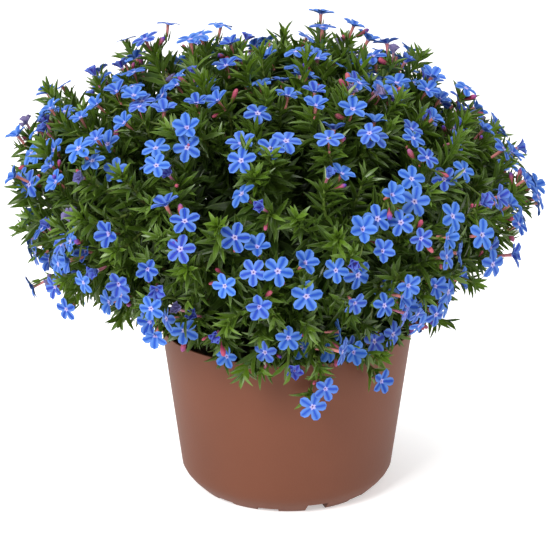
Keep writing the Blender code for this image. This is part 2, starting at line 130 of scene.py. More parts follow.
# Blooms of the main stems
BLOOM_COUNT = 184
BLOOM_TURN = 0.7
MOST_SITES = 6
LOWEST_BLOOM_UP = -0.13
BLOOM_ROOM = 0.0074
BLOOM_SPACING = 0.0165
TUBE_LENGTH = 0.0085
JOINT_CLEARANCE = 0.0045
LOWEST_START = 0.56
HIGHEST_START = 0.77
START_LEAD = 0.04

# Blooms that hang over the rim: (direction in degrees, height)
HANGING = ((-76.5, 0.0780), (-81.0, 0.0690), (-87.5, 0.0880), (-54.0, 0.0770), (-66.0, 0.0950),
           (-112.0, 0.0930), (25.0, 0.0750), (95.0, 0.0780), (150.0, 0.0730), (215.0, 0.1020))
HANGING_RADIUS = 0.0780
HANGING_JOINT = 0.0725
HANGING_JOINT_RISE = 0.0060
HANGING_DROP = 0.0050

# Blooms on long shoots that stand out of the mound
LONG_SHOOTS = ((-0.131, 0.004, 0.1900), (-0.121, 0.012, 0.2040), (-0.127, -0.014, 0.1790),
               (-0.071, 0.010, 0.2320), (-0.043, -0.006, 0.2370), (0.124, -0.010, 0.1620),
               (0.033, 0.008, 0.2390), (0.052, -0.010, 0.2290), (0.090, 0.010, 0.2070),
               (0.072, 0.000, 0.2150), (-0.020, 0.118, 0.1990),
               (0.074, 0.092, 0.1880), (-0.088, 0.084, 0.1950), (0.110, 0.055, 0.1780))
LONG_SHOOT_START = 0.60

# Further blooms
LOWEST_FURTHER = 0.0880
BLOOM_APART = 0.0105
TIP_BLOOM_CHANCE = 0.30
WITHERED_CHANCE = 0.045
WITHERED_OR_OPENING = 0.13
CUPPED_CHANCE = 0.45
BUD_COUNTS = (0, 1, 1, 1, 2)
MAIN_CALYX = 0.0060
SIDE_CALYX = 0.0055

# No leaf enters the space before a bloom's face: (from, to), and its share of the bloom's room
FACE_SPACE, FACE_SHARE, SEARCH_SHARE = (-0.0015, 0.0100), 0.85, 1.5

# Leafy shoots of the mound: turn of the first, and how far down they point
LEAFY_FAN = (2.1, -0.16)

# Leafy shoots that hang over the rim, and the stretches in degrees that have none
RIM_SHOOTS = 46
RIM_REACH, RIM_HEIGHT, RIM_LEAN = (0.074, 0.090), (0.080, 0.096), 0.35
BARE_RIM = ((178.0, 232.0), (322.0, 345.0))
RIM_SHOOT_START = 0.50

# How the full-grown mound settles; each ramp is (where it starts, how wide it is)
SKIRT_RISE = 0.0120
SKIRT_OUT, SKIRT_UP = (0.055, 0.050), (0.165, 0.060)
LEFT_SETTLING, LEFT_OUT = 0.40, (0.03, 0.07)
TOP_SHIFT, TOP_DROP, TOP_UP = 0.0030, 0.0085, (0.205, 0.035)
RIGHT_NARROWING, LEFT_NARROWING, DEPTH_NARROWING = 0.220, 0.040, 0.075
NARROWING_UP = (0.147, 0.050)
WIDEST, PAST_WIDEST = 0.1250, 0.45

# Where low shoots stand off the rim: (direction in degrees, half width, lift)
RIM_LIFTS = ((217.0, 34.0, 0.0130), (332.0, 22.0, 0.0070))
RIM_LIFT_UP, RIM_LIFT_OUT = (0.100, 0.055), (0.050, 0.025)

# Shoots: radius at the tip, part that bears leaves, tip leaves, range of tints;
# tip leaves: extra lift and loss of size at the very tip
TipLeaves = collections.namedtuple("TipLeaves", "lift shrink")
ShootKind = collections.namedtuple("ShootKind", "tip_radius leafy tip tints")
PLAIN_TIP = TipLeaves(0.15, 0.25)
TUFTED_TIP = TipLeaves(0.35, 0.42)
FLOWERING = ShootKind(0.0007, (0.12, 0.98), PLAIN_TIP, (0.3, 0.8))
LEAFY = ShootKind(0.0005, (0.15, 1.0), TUFTED_TIP, (0.4, 1.0))
SHOOT_RADIUS = 0.0010
START_PULL, END_PULL = 0.35, 0.40
SHOOT_POINTS = 14
SIDE_STALK = (0.0006, 0.0005, 0.6)
SIDE_PULL = 0.002
SIDE_POINTS = 5
TIP_LENGTH = 0.030
USUAL_LEAF = (1.0, 1.0)
# Broad old leaves of the main stems, enlarged to fill the mound's inside as a dark mass of painted
# shade
OLD_SHADE_FILL_LEAF = (1.45, 2.5)

# Repeated forms; stations are (distance along, half width)
STALK_SIDES = 5
STALK_RINGS = 9
LEAF_STATIONS = ((0.0, 0.16), (0.16, 0.34), (0.52, 0.50), (0.82, 0.27), (1.0, 0.0))
LEAF_UPPER, LEAF_LOWER, LEAF_FOLD = 0.030, 0.055, 0.24
LEAF_FORMS = ((0.04, 0.6), (0.16, 0.8), (0.28, 0.5), (-0.08, 0.9))
PETAL_COUNT = 5
PETAL_WIDTHS = (0.15, 0.255, 0.325, 0.250, 0.06)
PETAL_REACHES = (0.09, 0.34, 0.64, 0.87, 0.96)
PETAL_TIP, PETAL_ARCH, PETAL_THICKNESS = 0.05, 0.06, 0.02
TUBE_STATIONS = ((0.0, 0.09), (0.60, 0.11), (0.90, 0.12), (1.01, 0.155), (1.03, 0.11),
                 (0.99, 0.06), (0.94, 0.030))
BUD_STATIONS = ((0.0, 0.09), (0.35, 0.12), (0.68, 0.17), (0.90, 0.12), (1.0, 0.0))
SEPAL_STATIONS = ((0.0, 0.10), (0.45, 0.11), (1.0, 0.0))
SEPAL_TILT, SEPAL_OFFSET, SEPAL_SQUASH = math.radians(-12.0), 0.16, 0.6

# Blooms by stage: size, and two forms of (lift, curl, twist, spread) of the lobes
BLOOM_STAGES = {
    "flat": (1.0, ((0.02, 0.10, 0.0, 0.08), (-0.12, 0.20, 0.05, 0.14))),
    "cupped": (0.98, ((0.26, 0.30, 0.0, 0.14), (0.42, 0.35, 0.10, 0.18))),
    "opening": (0.86, ((0.85, 0.70, 0.25, 0.12), (1.05, 0.90, 0.30, 0.10))),
    "withered": (0.72, ((1.20, 1.2, 0.5, 0.35), (0.70, 1.4, 0.7, 0.60))),
}

# Colours that no setting changes
WHITE = (1.0, 1.0, 1.0, 1.0)
FLOOR_WHITE = (0.92, 0.92, 0.92, 1.0)
SOIL_BROWN = (0.045, 0.026, 0.015, 1.0)
OLIVE = (0.110, 0.170, 0.020, 1.0)
LEAF_MARGIN = (0.190, 0.280, 0.080, 1.0)
LEAF_RIB = (0.120, 0.220, 0.030, 1.0)
LEAF_FOOT = (0.110, 0.210, 0.025, 1.0)
# Pale bristles, speckled partly in their own colour and partly as painted glints of light on the
# hairs
BRISTLE_GLINT = (0.300, 0.380, 0.180, 1.0)
OLD_STALK = (0.090, 0.060, 0.024, 1.0)
YOUNG_STALK = (0.150, 0.270, 0.035, 1.0)
PETAL_MARGIN = (0.136, 0.266, 0.630, 1.0)
PETAL_STRIPE = (0.012, 0.040, 0.400, 1.0)
PETAL_FOOT = (0.560, 0.450, 0.800, 1.0)
WITHERED_PETAL = (0.190, 0.150, 0.270, 1.0)
WITHERED_TUBE = (0.250, 0.150, 0.170, 1.0)
VIOLET_TUBE = (0.300, 0.070, 0.330, 1.0)
THROAT_RING = (0.400, 0.380, 0.580, 1.0)
EYE = (0.160, 0.050, 0.200, 1.0)
# Painted light: the lobes glow faintly in their own colour, as if lit
PETAL_GLOW = 0.10

# Stage
CAMERA_DISTANCE = 1.0
CAMERA_ELEVATION = math.radians(18.0)
CAMERA_LENS = 124.96
CAMERA_SENSOR = 36.0
CAMERA_AIM = Vector((-0.0036, 0.0, 0.1087))
FLOOR_SIZE = 5.0
FLOOR_GLOW = 0.42
WORLD_LIGHT = 0.60
LIGHTS = (("key", (-0.9, -1.3, 1.25), 0.7, 33.0),
          ("fill", (1.2, -1.2, 0.7), 1.2, 5.0),
          ("top", (0.1, 0.3, 1.6), 1.2, 14.0))


def length_setting(name, description, default, low, high):
    """A length among the settings."""
    return FloatProperty(name=name, description=description, default=default, min=low, max=high,
                         unit="LENGTH", precision=4)


def colour_setting(name, description, *default):
    """A colour among the settings."""
    return FloatVectorProperty(name=name, description=description, default=(*default, 1.0),
                               size=4, min=0.0, max=1.0, subtype="COLOR")


class LithodoraSettings(bpy.types.PropertyGroup):
    """Sizes, counts and colours of the plant and its pot."""

    bloom_radius: length_setting(
        "Bloom radius", "From the eye of a bloom to the tip of a lobe", 0.0073, 0.004, 0.012)
    leaf_length: length_setting(
        "Leaf length", "Length of a full-grown leaf", 0.0145, 0.008, 0.030)
    leaf_width: length_setting(
        "Leaf width", "Width of a full-grown leaf", 0.0025, 0.001, 0.008)
    leaf_spacing: length_setting(
        "Leaf spacing", "Distance between leaves along a shoot", 0.00125, 0.0005, 0.010)
    leafy_shoots: IntProperty(
        name="Leafy shoots", description="Shoots of the mound that end in a tuft of leaves",
        default=300, min=0, max=600)
    second_bloom: FloatProperty(
        name="Further blooms", description="Chance of each further bloom on a flowering shoot",
        default=0.56, min=0.0, max=1.0, subtype="FACTOR")
    pot_colour: colour_setting("Pot colour", "Rose-brown moulded plastic", 0.150, 0.050, 0.026)
    # Painted shade and light: leaves deep in the mound take the dark old-leaf colour, leaves at the
    # mound's surface and at young tips the bright young-leaf colour
    shaded_old_leaf: colour_setting("Old and shaded leaf colour", "Leaves low on a shoot and deep in the mound", 0.014, 0.040, 0.003)
    lit_young_leaf: colour_setting(
        "Young and lit leaf colour", "Leaves near the tip of a shoot and at the mound's surface", 0.098, 0.190, 0.006)
    light_petal: colour_setting("Light petal colour", "Palest open blooms", 0.025, 0.110, 0.415)
    deep_petal: colour_setting("Deep petal colour", "Deepest blue blooms", 0.003, 0.028, 0.225)
    violet_petal: colour_setting(
        "Violet petal colour", "Opening and ageing blooms", 0.066, 0.034, 0.340)
    bud_colour: colour_setting("Bud colour", "Closed buds", 0.330, 0.035, 0.095)
    tube_colour: colour_setting("Tube colour", "Tube behind an open bloom", 0.480, 0.170, 0.150)


def settings():
    """The plant's settings in the current scene."""
    return bpy.context.scene.lithodora


# Places on the plant, round the pot's axis


def level(turn):
    """Level direction at an angle round the axis."""
    return Vector((math.cos(turn), math.sin(turn), 0.0))


def square_axes(axis):
    """Two directions square to an axis."""
    helper = UP if abs(axis.z) < 0.9 else Vector((1.0, 0.0, 0.0))
    first = axis.cross(helper).normalized()
    return first, axis.cross(first).normalized()


def sideways(axis, angle):
    """Direction square to an axis, at an angle round it."""
    one, other = square_axes(axis)
    return one * math.cos(angle) + other * math.sin(angle)


def nearest(aim, directions, owners):
    """The owner whose direction is nearest to an aim."""
    return max(owners, key=lambda index: aim.dot(directions[index]))


def lean_at(height):
    """Sideways shift of the mound's middle at a height."""
    for (low, shift_low), (high, shift_high) in zip(MOUND_LEAN, MOUND_LEAN[1:]):
        if height <= high:
            share = max(0.0, (height - low) / (high - low))
            return shift_low + share * (shift_high - shift_low)
    return MOUND_LEAN[-1][1]


def mound_reach(direction):
    """Distance from the crown point to the mound's surface."""
    near, far = 0.02, 0.30
    for _ in range(30):
        middle = (near + far) / 2.0
        point = CROWN + direction * middle
        across = ((point.x - lean_at(point.z)) / MOUND_RADIUS) ** 2
        depth = (point.y / MOUND_RADIUS) ** 2
        rise = ((point.z - MOUND_CENTRE_HEIGHT) / MOUND_HALF_HEIGHT) ** 2
        if across + depth + rise < 1.0:
            near = middle
        else:
            far = middle
    return near


def mound_normal(point):
    """Outward direction of the mound's surface."""
    return Vector(((point.x - lean_at(point.z)) / MOUND_RADIUS ** 2,
                   point.y / MOUND_RADIUS ** 2,
                   (point.z - MOUND_CENTRE_HEIGHT) / MOUND_HALF_HEIGHT ** 2)).normalized()


def fan(count, turn, lowest_up):
    """Directions spread evenly from straight up down to a lowest upward part."""
    directions = []
    for index in range(count):
        up = 1.0 - (index + 0.5) / count * (1.0 - lowest_up)
        angle = turn + index * GOLDEN_ANGLE
        side = math.sqrt(1.0 - up * up)
        directions.append(Vector((side * math.cos(angle), side * math.sin(angle), up)))
    return directions


def cell_planes(directions, index):
    """Sides of one stem's cone and the slope over the rim: (inward normal, offset)."""
    own = directions[index]
    flat = Vector((own.x, own.y, 0.0)).normalized()
    slope = Vector((RIM_SLOPE * flat.x, RIM_SLOPE * flat.y, 1.0)).normalized()
    sides = [((own - other).normalized(), CELL_MARGIN) for other in directions if other is not own]
    return sides + [(slope, CELL_MARGIN)]


def push_inside(point, planes, room):
    """Shift a point until it stands clear of all the planes."""
    for _ in range(12):
        for normal, offset in planes:
            short = room + offset - (point - CROWN).dot(normal)
            if short > 0.0:
                point = point + normal * short
    return point


def spread(sites, planes):
    """Move the blooms of one stem apart, inside its own cone."""
    for _ in range(25):
        for one in range(len(sites)):
            for other in range(one):
                apart = sites[one][0] - sites[other][0]
                short = BLOOM_SPACING - apart.length
                if short > 0.0:
                    step = apart.normalized() * short * 0.5
                    sites[one] = (sites[one][0] + step, sites[one][1])
                    sites[other] = (sites[other][0] - step, sites[other][1])
        for one, (place, facing) in enumerate(sites):
            sites[one] = (push_inside(place, planes, BLOOM_ROOM + CELL_MARGIN), facing)


def bloom_sites(directions):
    """Blooms of each main stem: (place of the bloom, direction that it faces)."""
    draw = random.Random(11)
    sites = [[] for _ in directions]
    for direction in fan(BLOOM_COUNT, BLOOM_TURN, LOWEST_BLOOM_UP):
        jitter = Vector((draw.gauss(0, 0.045), draw.gauss(0, 0.045), draw.gauss(0, 0.045)))
        aim = (direction + jitter).normalized()
        if aim.z < LOWEST_BLOOM_UP:
            aim.z = LOWEST_BLOOM_UP
            aim.normalize()
        free = [index for index, own in enumerate(sites) if len(own) < MOST_SITES]
        owner = nearest(aim, directions, free)
        reach = mound_reach(aim) * draw.uniform(0.90, 1.01)
        planes = cell_planes(directions, owner)
        place = push_inside(CROWN + aim * reach, planes, BLOOM_ROOM + CELL_MARGIN)
        tilt = Vector((draw.gauss(0, 0.28), draw.gauss(0, 0.28), 0.35 + draw.gauss(0, 0.25)))
        facing = mound_normal(place) + tilt
        facing.z = max(facing.z, 0.0)
        facing.normalize()
        sites[owner].append((place, facing))
    for owner, own in enumerate(sites):
        spread(own, cell_planes(directions, owner))
    return sites


def curve_points(start, start_pull, end_pull, end, count):
    """Points along a smooth curve between two ends."""
    points = []
    for index in range(count):
        share = index / (count - 1)
        rest = 1.0 - share
        points.append(start * rest ** 3 + start_pull * 3.0 * rest ** 2 * share
                      + end_pull * 3.0 * rest * share ** 2 + end * share ** 3)
    return points


def place_along(points, distance):
    """Place and direction at a distance along a row of points."""
    for here, there in zip(points, points[1:]):
        step = (there - here).length
        if distance <= step:
            return here.lerp(there, distance / step), (there - here).normalized()
        distance -= step
    return points[-1], (points[-1] - points[-2]).normalized()


def row_length(points):
    """Length of a row of points."""
    return sum((there - here).length for here, there in zip(points, points[1:]))


def wall_radius(height):
    """Outer radius of the pot's straight wall at a height."""
    share = (height - POT_CORNER_HEIGHT) / (POT_HEIGHT - POT_CORNER_HEIGHT)
    return POT_CORNER_RADIUS + share * (POT_TOP_RADIUS - POT_CORNER_RADIUS)


def meets_pot(base, tip):
    """Whether a leaf between two places would pass through the pot's wall."""
    sides = set()
    for share in (0.0, 0.35, 0.7, 1.0):
        place = base.lerp(tip, share)
        radius = math.hypot(place.x, place.y)
        if place.z < POT_HEIGHT + RIM_CLEARANCE:
            if abs(radius - wall_radius(place.z)) < WALL_CLEARANCE:
                return True
            if place.z < SOIL_TOP and radius < wall_radius(place.z):
                return True
            sides.add(radius > wall_radius(place.z))
    return len(sides) > 1


def ramp(value, start, width):
    """Smooth rise from 0 to 1 over a width."""
    value = min(1.0, max(0.0, (value - start) / width))
    return value * value * (3.0 - 2.0 * value)


def rim_lift(place, radius):
    """Rise of the low shoots where they stand off the rim."""
    low = 1.0 - ramp(place.z, *RIM_LIFT_UP)
    outer = ramp(radius, *RIM_LIFT_OUT)
    turn = math.degrees(math.atan2(place.y, place.x)) % 360.0
    return sum(lift * low * outer * (1.0 - ramp(abs(turn - middle), 0.0, half))
               for middle, half, lift in RIM_LIFTS)


def settled(place):
    """A place on the plant as the full-grown shoots carry it: the outer skirt rides higher."""
    radius = math.hypot(place.x, place.y)
    skirt = ramp(radius, *SKIRT_OUT) * (1.0 - ramp(place.z, *SKIRT_UP))
    rise = SKIRT_RISE * (1.0 - LEFT_SETTLING * ramp(-place.x, *LEFT_OUT))
    lift = rim_lift(place, radius)
    top = ramp(place.z, *TOP_UP)
    narrowing = ramp(place.z, *NARROWING_UP)
    if radius > WIDEST:
        outward = (WIDEST + (radius - WIDEST) * PAST_WIDEST) / radius
        place = Vector((place.x * outward, place.y * outward, place.z))
    across = place.x * (1.0 - (RIGHT_NARROWING if place.x > 0.0 else LEFT_NARROWING) * narrowing)
    return Vector((across + TOP_SHIFT * top, place.y * (1.0 - DEPTH_NARROWING * narrowing),
                   place.z + rise * skirt + lift - TOP_DROP * top))


def before_settling(place):
    """The place that settles to a given one."""
    raw = place.copy()
    for _ in range(20):
        raw += place - settled(raw)
    return raw


def bloom_look(draw):
    """Stage and tint of a bloom: (stage, (deep, violet, withered))."""
    chance = draw.random()
    if chance < WITHERED_CHANCE:
        return "withered", (draw.random(), draw.uniform(0.3, 0.9), draw.uniform(0.55, 1.0))
    if chance < WITHERED_OR_OPENING:
        return "opening", (draw.uniform(0.3, 1.0), draw.uniform(0.45, 1.0), 0.0)
    deep = min(1.0, max(0.0, draw.gauss(0.42, 0.42)))
    violet = min(1.0, max(0.0, draw.gauss(0.03, 0.18)))
    return ("cupped" if draw.random() < CUPPED_CHANCE else "flat"), (deep, violet, 0.0)


class Plant:
    """All that grows: stalks, leaves, blooms, buds and calyces, each with its main stem."""

    def __init__(self):
        self.stalks, self.leaves, self.blooms, self.buds, self.calyces = [], [], [], [], []
        self.draw = random.Random(97)
        self.directions = fan(STEM_COUNT, 0.0, LOWEST_STEM_UP)
        self.reaches = [mound_reach(direction) for direction in self.directions]
        self.low_stems = [index for index, direction in enumerate(self.directions)
                          if direction.z < LOW_STEM_UP]

    def on_stem(self, owner, share):
        """Place on a main stem at a share of the way from the crown to the mound's surface."""
        return CROWN + self.directions[owner] * self.reaches[owner] * share

    def add_leaf(self, owner, base, axis, out, lift, length, width, tint):
        """A leaf that leaves a stalk sideways and leans towards its tip."""
        aim = (out * math.cos(lift) + axis * math.sin(lift)).normalized()
        face = (axis * math.cos(lift) - out * math.sin(lift)).normalized()
        if meets_pot(base, base + aim * length):
            return
        across = aim.cross(face).normalized()
        turn = Matrix((across * width, aim * length, face * length)).transposed()
        form = self.draw.randrange(len(LEAF_FORMS))
        self.leaves.append((owner, form, base, turn, tint))

    def add_leaves(self, owner, points, leafy, spacing, tip, broad=USUAL_LEAF):
        """Leaves in a spiral along part of a shoot, smaller and brighter towards the tip, darker
        deep in the mound as painted shade.
        """
        draw = self.draw
        values = settings()
        total = row_length(points)
        distance = total * leafy[0]
        angle = draw.uniform(0.0, FULL_TURN)
        while distance < total * leafy[1]:
            place, axis = place_along(points, distance)
            near_tip = max(0.0, 1.0 - (total - distance) / TIP_LENGTH)
            out = sideways(axis, angle)
            lift = draw.uniform(0.40, 0.95) + tip.lift * near_tip
            size = draw.uniform(0.72, 1.12) * (1.0 - tip.shrink * near_tip ** 2)
            length = values.leaf_length * size * broad[0]
            width = values.leaf_width * draw.uniform(0.8, 1.15) * (0.6 + 0.4 * size) * broad[1]
            depth = place - CROWN
            inside = min(1.0, max(0.0, depth.length / mound_reach(depth.normalized())))
            # Painted shade: the deeper inside the mound a leaf stands, the darker it is; young
            # leaves near the tip are brighter of their own, and the rest is random spread
            shade = 0.04 + 0.55 * inside ** 6 + 0.28 * near_tip + draw.gauss(0.0, 0.13)
            tint = (min(1.0, max(0.0, shade)), draw.random(), draw.random())
            self.add_leaf(owner, place, axis, out, lift, length, width, tint)
            angle += GOLDEN_ANGLE + draw.uniform(-0.3, 0.3)
            distance += spacing * draw.uniform(0.75, 1.25) * (1.0 - 0.35 * near_tip)

    def add_shoot(self, owner, start, end, end_aim, kind):
        """A shoot that leaves its main stem and bends to its end."""
        along = self.directions[owner]
        length = (end - start).length
        points = curve_points(start, start + along * length * START_PULL,
                              end - end_aim * length * END_PULL, end, SHOOT_POINTS)
        tint = self.draw.uniform(*kind.tints)
        self.stalks.append((owner, points, SHOOT_RADIUS, kind.tip_radius, tint))
        self.add_leaves(owner, points, kind.leafy, settings().leaf_spacing, kind.tip)

    def add_side_stalk(self, owner, start, start_aim, end, end_aim):
        """A short stalk to a bud or a further bloom."""
        points = curve_points(start, start + start_aim * SIDE_PULL, end - end_aim * SIDE_PULL,
                              end, SIDE_POINTS)
        self.stalks.append((owner, points, *SIDE_STALK))

    def add_calyx(self, owner, base, aim, length, shades=(0.3, 0.8)):
        """The sepals round the foot of a bloom or bud."""
        self.calyces.append((owner, base, aim, length, self.draw.uniform(*shades)))

    def add_bloom(self, owner, place, facing, base, base_aim, calyx):
        """A bloom and its calyx."""
        stage, tint = bloom_look(self.draw)
        spin = self.draw.uniform(0.0, FULL_TURN)
        self.blooms.append((owner, stage, place, facing, spin, tint))
        self.add_calyx(owner, base, base_aim, calyx)

    def add_buds(self, owner, joint, facing, count):
        """Buds round the foot of a bloom."""
        draw = self.draw
        for _ in range(count):
            out = sideways(facing, draw.uniform(0.0, FULL_TURN))
            aim = (facing * draw.uniform(0.5, 1.1) + out).normalized()
            base = joint - facing * draw.uniform(0.0, 0.003)
            end = base + aim * draw.uniform(0.003, 0.007)
            self.add_side_stalk(owner, base, facing, end, aim)
            length = draw.uniform(0.0045, 0.0085)
            self.buds.append((owner, end, aim, length, (draw.random(), draw.random(), 0.0)))
            self.add_calyx(owner, end, aim, draw.uniform(0.0040, 0.0055), (0.2, 0.7))

    def add_further_blooms(self, owner, joint, bloom, facing):
        """Up to two more blooms beside the first, where there is room."""
        draw = self.draw
        for _ in range(2):
            out = sideways(facing, draw.uniform(0.0, FULL_TURN))
            aim = (facing + out * draw.uniform(0.2, 0.8) + UP * 0.2).normalized()
            place = bloom + out * draw.uniform(0.0110, 0.0160) - facing * draw.uniform(0.0, 0.006)
            base = place - aim * TUBE_LENGTH
            if draw.random() > settings().second_bloom or place.z < LOWEST_FURTHER:
                continue
            if not meets_pot(base, place) and self.has_room(place):
                self.add_side_stalk(owner, joint - facing * 0.003, facing, base, aim)
                self.add_bloom(owner, place, aim, base, aim, SIDE_CALYX)

    def add_flowering_shoot(self, owner, start, joint, bloom, facing):
        """A shoot with leaves up to its bloom, buds, and sometimes more blooms."""
        self.add_shoot(owner, start, joint, facing, FLOWERING)
        self.add_bloom(owner, bloom, facing, joint, (bloom - joint).normalized(), MAIN_CALYX)
        self.add_buds(owner, joint, facing, self.draw.choice(BUD_COUNTS))
        self.add_further_blooms(owner, joint, bloom, facing)

    def has_room(self, place):
        """Whether no other bloom is too near a place."""
        return all((place - other).length > BLOOM_APART for _, _, other, *_ in self.blooms)

    def grow_main_stems(self):
        """Main stems from their roots up into the mound, with broad old leaves that fill the
        mound's inside as a dark mass of painted shade.
        """
        widest = math.acos(LOWEST_STEM_UP)
        for owner, direction in enumerate(self.directions):
            turn = math.atan2(direction.y, direction.x)
            radius = ROOT_CIRCLE * math.acos(direction.z) / widest
            root = Vector((radius * math.cos(turn), radius * math.sin(turn),
                           SOIL_TOP - ROOT_DEPTH))
            entry = CROWN + direction * ENTRY_DISTANCE
            rise = (entry - root).length
            points = curve_points(root, root + Vector((0.0, 0.0, rise * ROOT_PULL)),
                                  entry - direction * rise * ENTRY_PULL, entry, ROOT_POINTS)
            end = self.on_stem(owner, STEM_REACH)
            points += [entry.lerp(end, step / STEM_STEPS) for step in range(1, STEM_STEPS + 1)]
            self.stalks.append((owner, points, *STEM_RADII, self.draw.uniform(0.0, 0.3)))
            self.add_leaves(owner, points, STEM_LEAFY, STEM_LEAF_SPACING, PLAIN_TIP, OLD_SHADE_FILL_LEAF)

    def grow_flowering_shoots(self):
        """The shoots that carry the blooms of the main stems."""
        for owner, sites in enumerate(bloom_sites(self.directions)):
            direction = self.directions[owner]
            planes = cell_planes(self.directions, owner)
            sites = sorted(sites, key=lambda site: (site[0] - CROWN).normalized().dot(direction))
            for number, (bloom, facing) in enumerate(sites):
                joint = push_inside(bloom - facing * TUBE_LENGTH, planes, JOINT_CLEARANCE)
                share = LOWEST_START + (number + 0.5) / len(sites) * (HIGHEST_START - LOWEST_START)
                start = self.on_stem(owner, share - START_LEAD)
                self.add_flowering_shoot(owner, start, joint, bloom, facing)

    def grow_hanging_shoots(self):
        """Flowering shoots that bend over the pot's rim."""
        draw = random.Random(29)
        for degrees, height in HANGING:
            out = level(math.radians(degrees))
            owner = nearest(out, self.directions, self.low_stems)
            upright = Vector((0.0, 0.0, height - HANGING_DROP))
            bloom = out * HANGING_RADIUS + upright
            facing = (out + Vector((0.0, 0.0, draw.uniform(-0.1, 0.3)))).normalized()
            joint = out * HANGING_JOINT + upright + Vector((0.0, 0.0, HANGING_JOINT_RISE))
            self.add_flowering_shoot(owner, self.on_stem(owner, LOWEST_START), joint, bloom,
                                     facing)

    def grow_leafy_shoots(self):
        """Shoots all over the mound that end in a tuft of leaves, some with a bloom on top."""
        draw = self.draw
        for aim in fan(settings().leafy_shoots, *LEAFY_FAN):
            aim = (aim + Vector((draw.gauss(0, 0.05), draw.gauss(0, 0.05), 0.0))).normalized()
            owner = nearest(aim, self.directions, range(STEM_COUNT))
            inner, outer = draw.uniform(0.82, 0.96), draw.uniform(0.94, 1.06)
            reach = mound_reach(aim) * draw.choice((inner, outer))
            start = self.on_stem(owner, draw.uniform(0.45, 0.68))
            end = CROWN + aim * reach
            end_aim = (mound_normal(end) + Vector((0.0, 0.0, 0.45))).normalized()
            self.add_shoot(owner, start, end, end_aim, LEAFY)
            bloom = end + end_aim * (TUBE_LENGTH - 0.001)
            blooms = draw.random() < TIP_BLOOM_CHANCE
            if blooms and end.z > LOWEST_FURTHER and self.has_room(bloom):
                self.add_bloom(owner, bloom, end_aim, end, end_aim, SIDE_CALYX)

    def grow_long_shoots(self):
        """Flowering shoots that stand out of the mound."""
        draw = self.draw
        for place in LONG_SHOOTS:
            bloom = before_settling(Vector(place))
            aim = (bloom - CROWN).normalized()
            owner = nearest(aim, self.directions, range(STEM_COUNT))
            tilt = Vector((draw.gauss(0, 0.25), draw.gauss(-0.20, 0.25), 0.45))
            facing = (aim + tilt).normalized()
            self.add_flowering_shoot(owner, self.on_stem(owner, LONG_SHOOT_START),
                                     bloom - facing * TUBE_LENGTH, bloom, facing)

    def grow_rim_shoots(self):
        """Leafy shoots that hang over the pot's rim."""
        draw = self.draw
        for number in range(RIM_SHOOTS):
            turn = FULL_TURN * (number + draw.uniform(-0.3, 0.3)) / RIM_SHOOTS
            if any(low < math.degrees(turn) < high for low, high in BARE_RIM):
                continue
            out = level(turn)
            owner = nearest(out, self.directions, self.low_stems)
            end = out * draw.uniform(*RIM_REACH)
            end += Vector((0.0, 0.0, draw.uniform(*RIM_HEIGHT)))
            end.x += lean_at(end.z) * RIM_LEAN
            end_aim = (out + Vector((0.0, 0.0, draw.uniform(-0.5, 0.3)))).normalized()
            self.add_shoot(owner, self.on_stem(owner, RIM_SHOOT_START), end, end_aim, LEAFY)

    def in_front_of_bloom(self, base, aim, tree):
        """Whether a leaf stands in front of or through the face of a bloom."""
        for share in (0.4, 0.7, 1.0):
            place = base + aim * share
            for centre, number, _ in tree.find_range(place, BLOOM_ROOM * SEARCH_SHARE):
                facing = self.blooms[number][3]
                height = (place - centre).dot(facing)
                across = (place - centre - facing * height).length
                if FACE_SPACE[0] < height < FACE_SPACE[1] and across < BLOOM_ROOM * FACE_SHARE:
                    return True
        return False

    def clear_faces(self):
        """Drop the leaves that hide the faces of blooms."""
        tree = KDTree(len(self.blooms))
        for number, bloom in enumerate(self.blooms):
            tree.insert(bloom[2], number)
        tree.balance()
        self.leaves = [leaf for leaf in self.leaves
                       if not self.in_front_of_bloom(leaf[2], leaf[3].col[1], tree)]


@functools.lru_cache(maxsize=None)
def grown_plant():
    """The whole plant, grown once and used by every piece."""
    plant = Plant()
    plant.grow_main_stems()
    plant.grow_flowering_shoots()
    plant.grow_hanging_shoots()
    plant.grow_leafy_shoots()
    plant.grow_long_shoots()
    plant.grow_rim_shoots()
    plant.clear_faces()
    return plant


def quarter_of(owner):
    """Which quarter of the plant a main stem grows in."""
    direction = fan(STEM_COUNT, 0.0, LOWEST_STEM_UP)[owner]
    turn = math.atan2(direction.y, direction.x) + math.pi
    return int(turn / FULL_TURN * QUARTERS) % QUARTERS


# Forms that are repeated


def turn_form(bm, angle, axis, centre=(0.0, 0.0, 0.0)):
    """Turn a whole form."""
    bmesh.ops.rotate(bm, verts=bm.verts[:], cent=centre, matrix=Matrix.Rotation(angle, 3, axis))


def move_form(bm, *step):
    """Move a whole form."""
    bmesh.ops.translate(bm, verts=bm.verts[:], vec=step)


def map_grain(bm, grain_at):
    """Give every corner of every face its place in the grain."""
    grain = bm.loops.layers.uv.new("grain")
    for face in bm.faces:
        for loop in face.loops:
            loop[grain].uv = grain_at(loop.vert.co)


def joined(parts):
    """Several forms in one."""
    bm = bmesh.new()
    scratch = bpy.data.meshes.new("scratch")
    for part in parts:
        scratch.clear_geometry()
        part.to_mesh(scratch)
        part.free()
        bm.from_mesh(scratch)
    bpy.data.meshes.remove(scratch)
    return bm


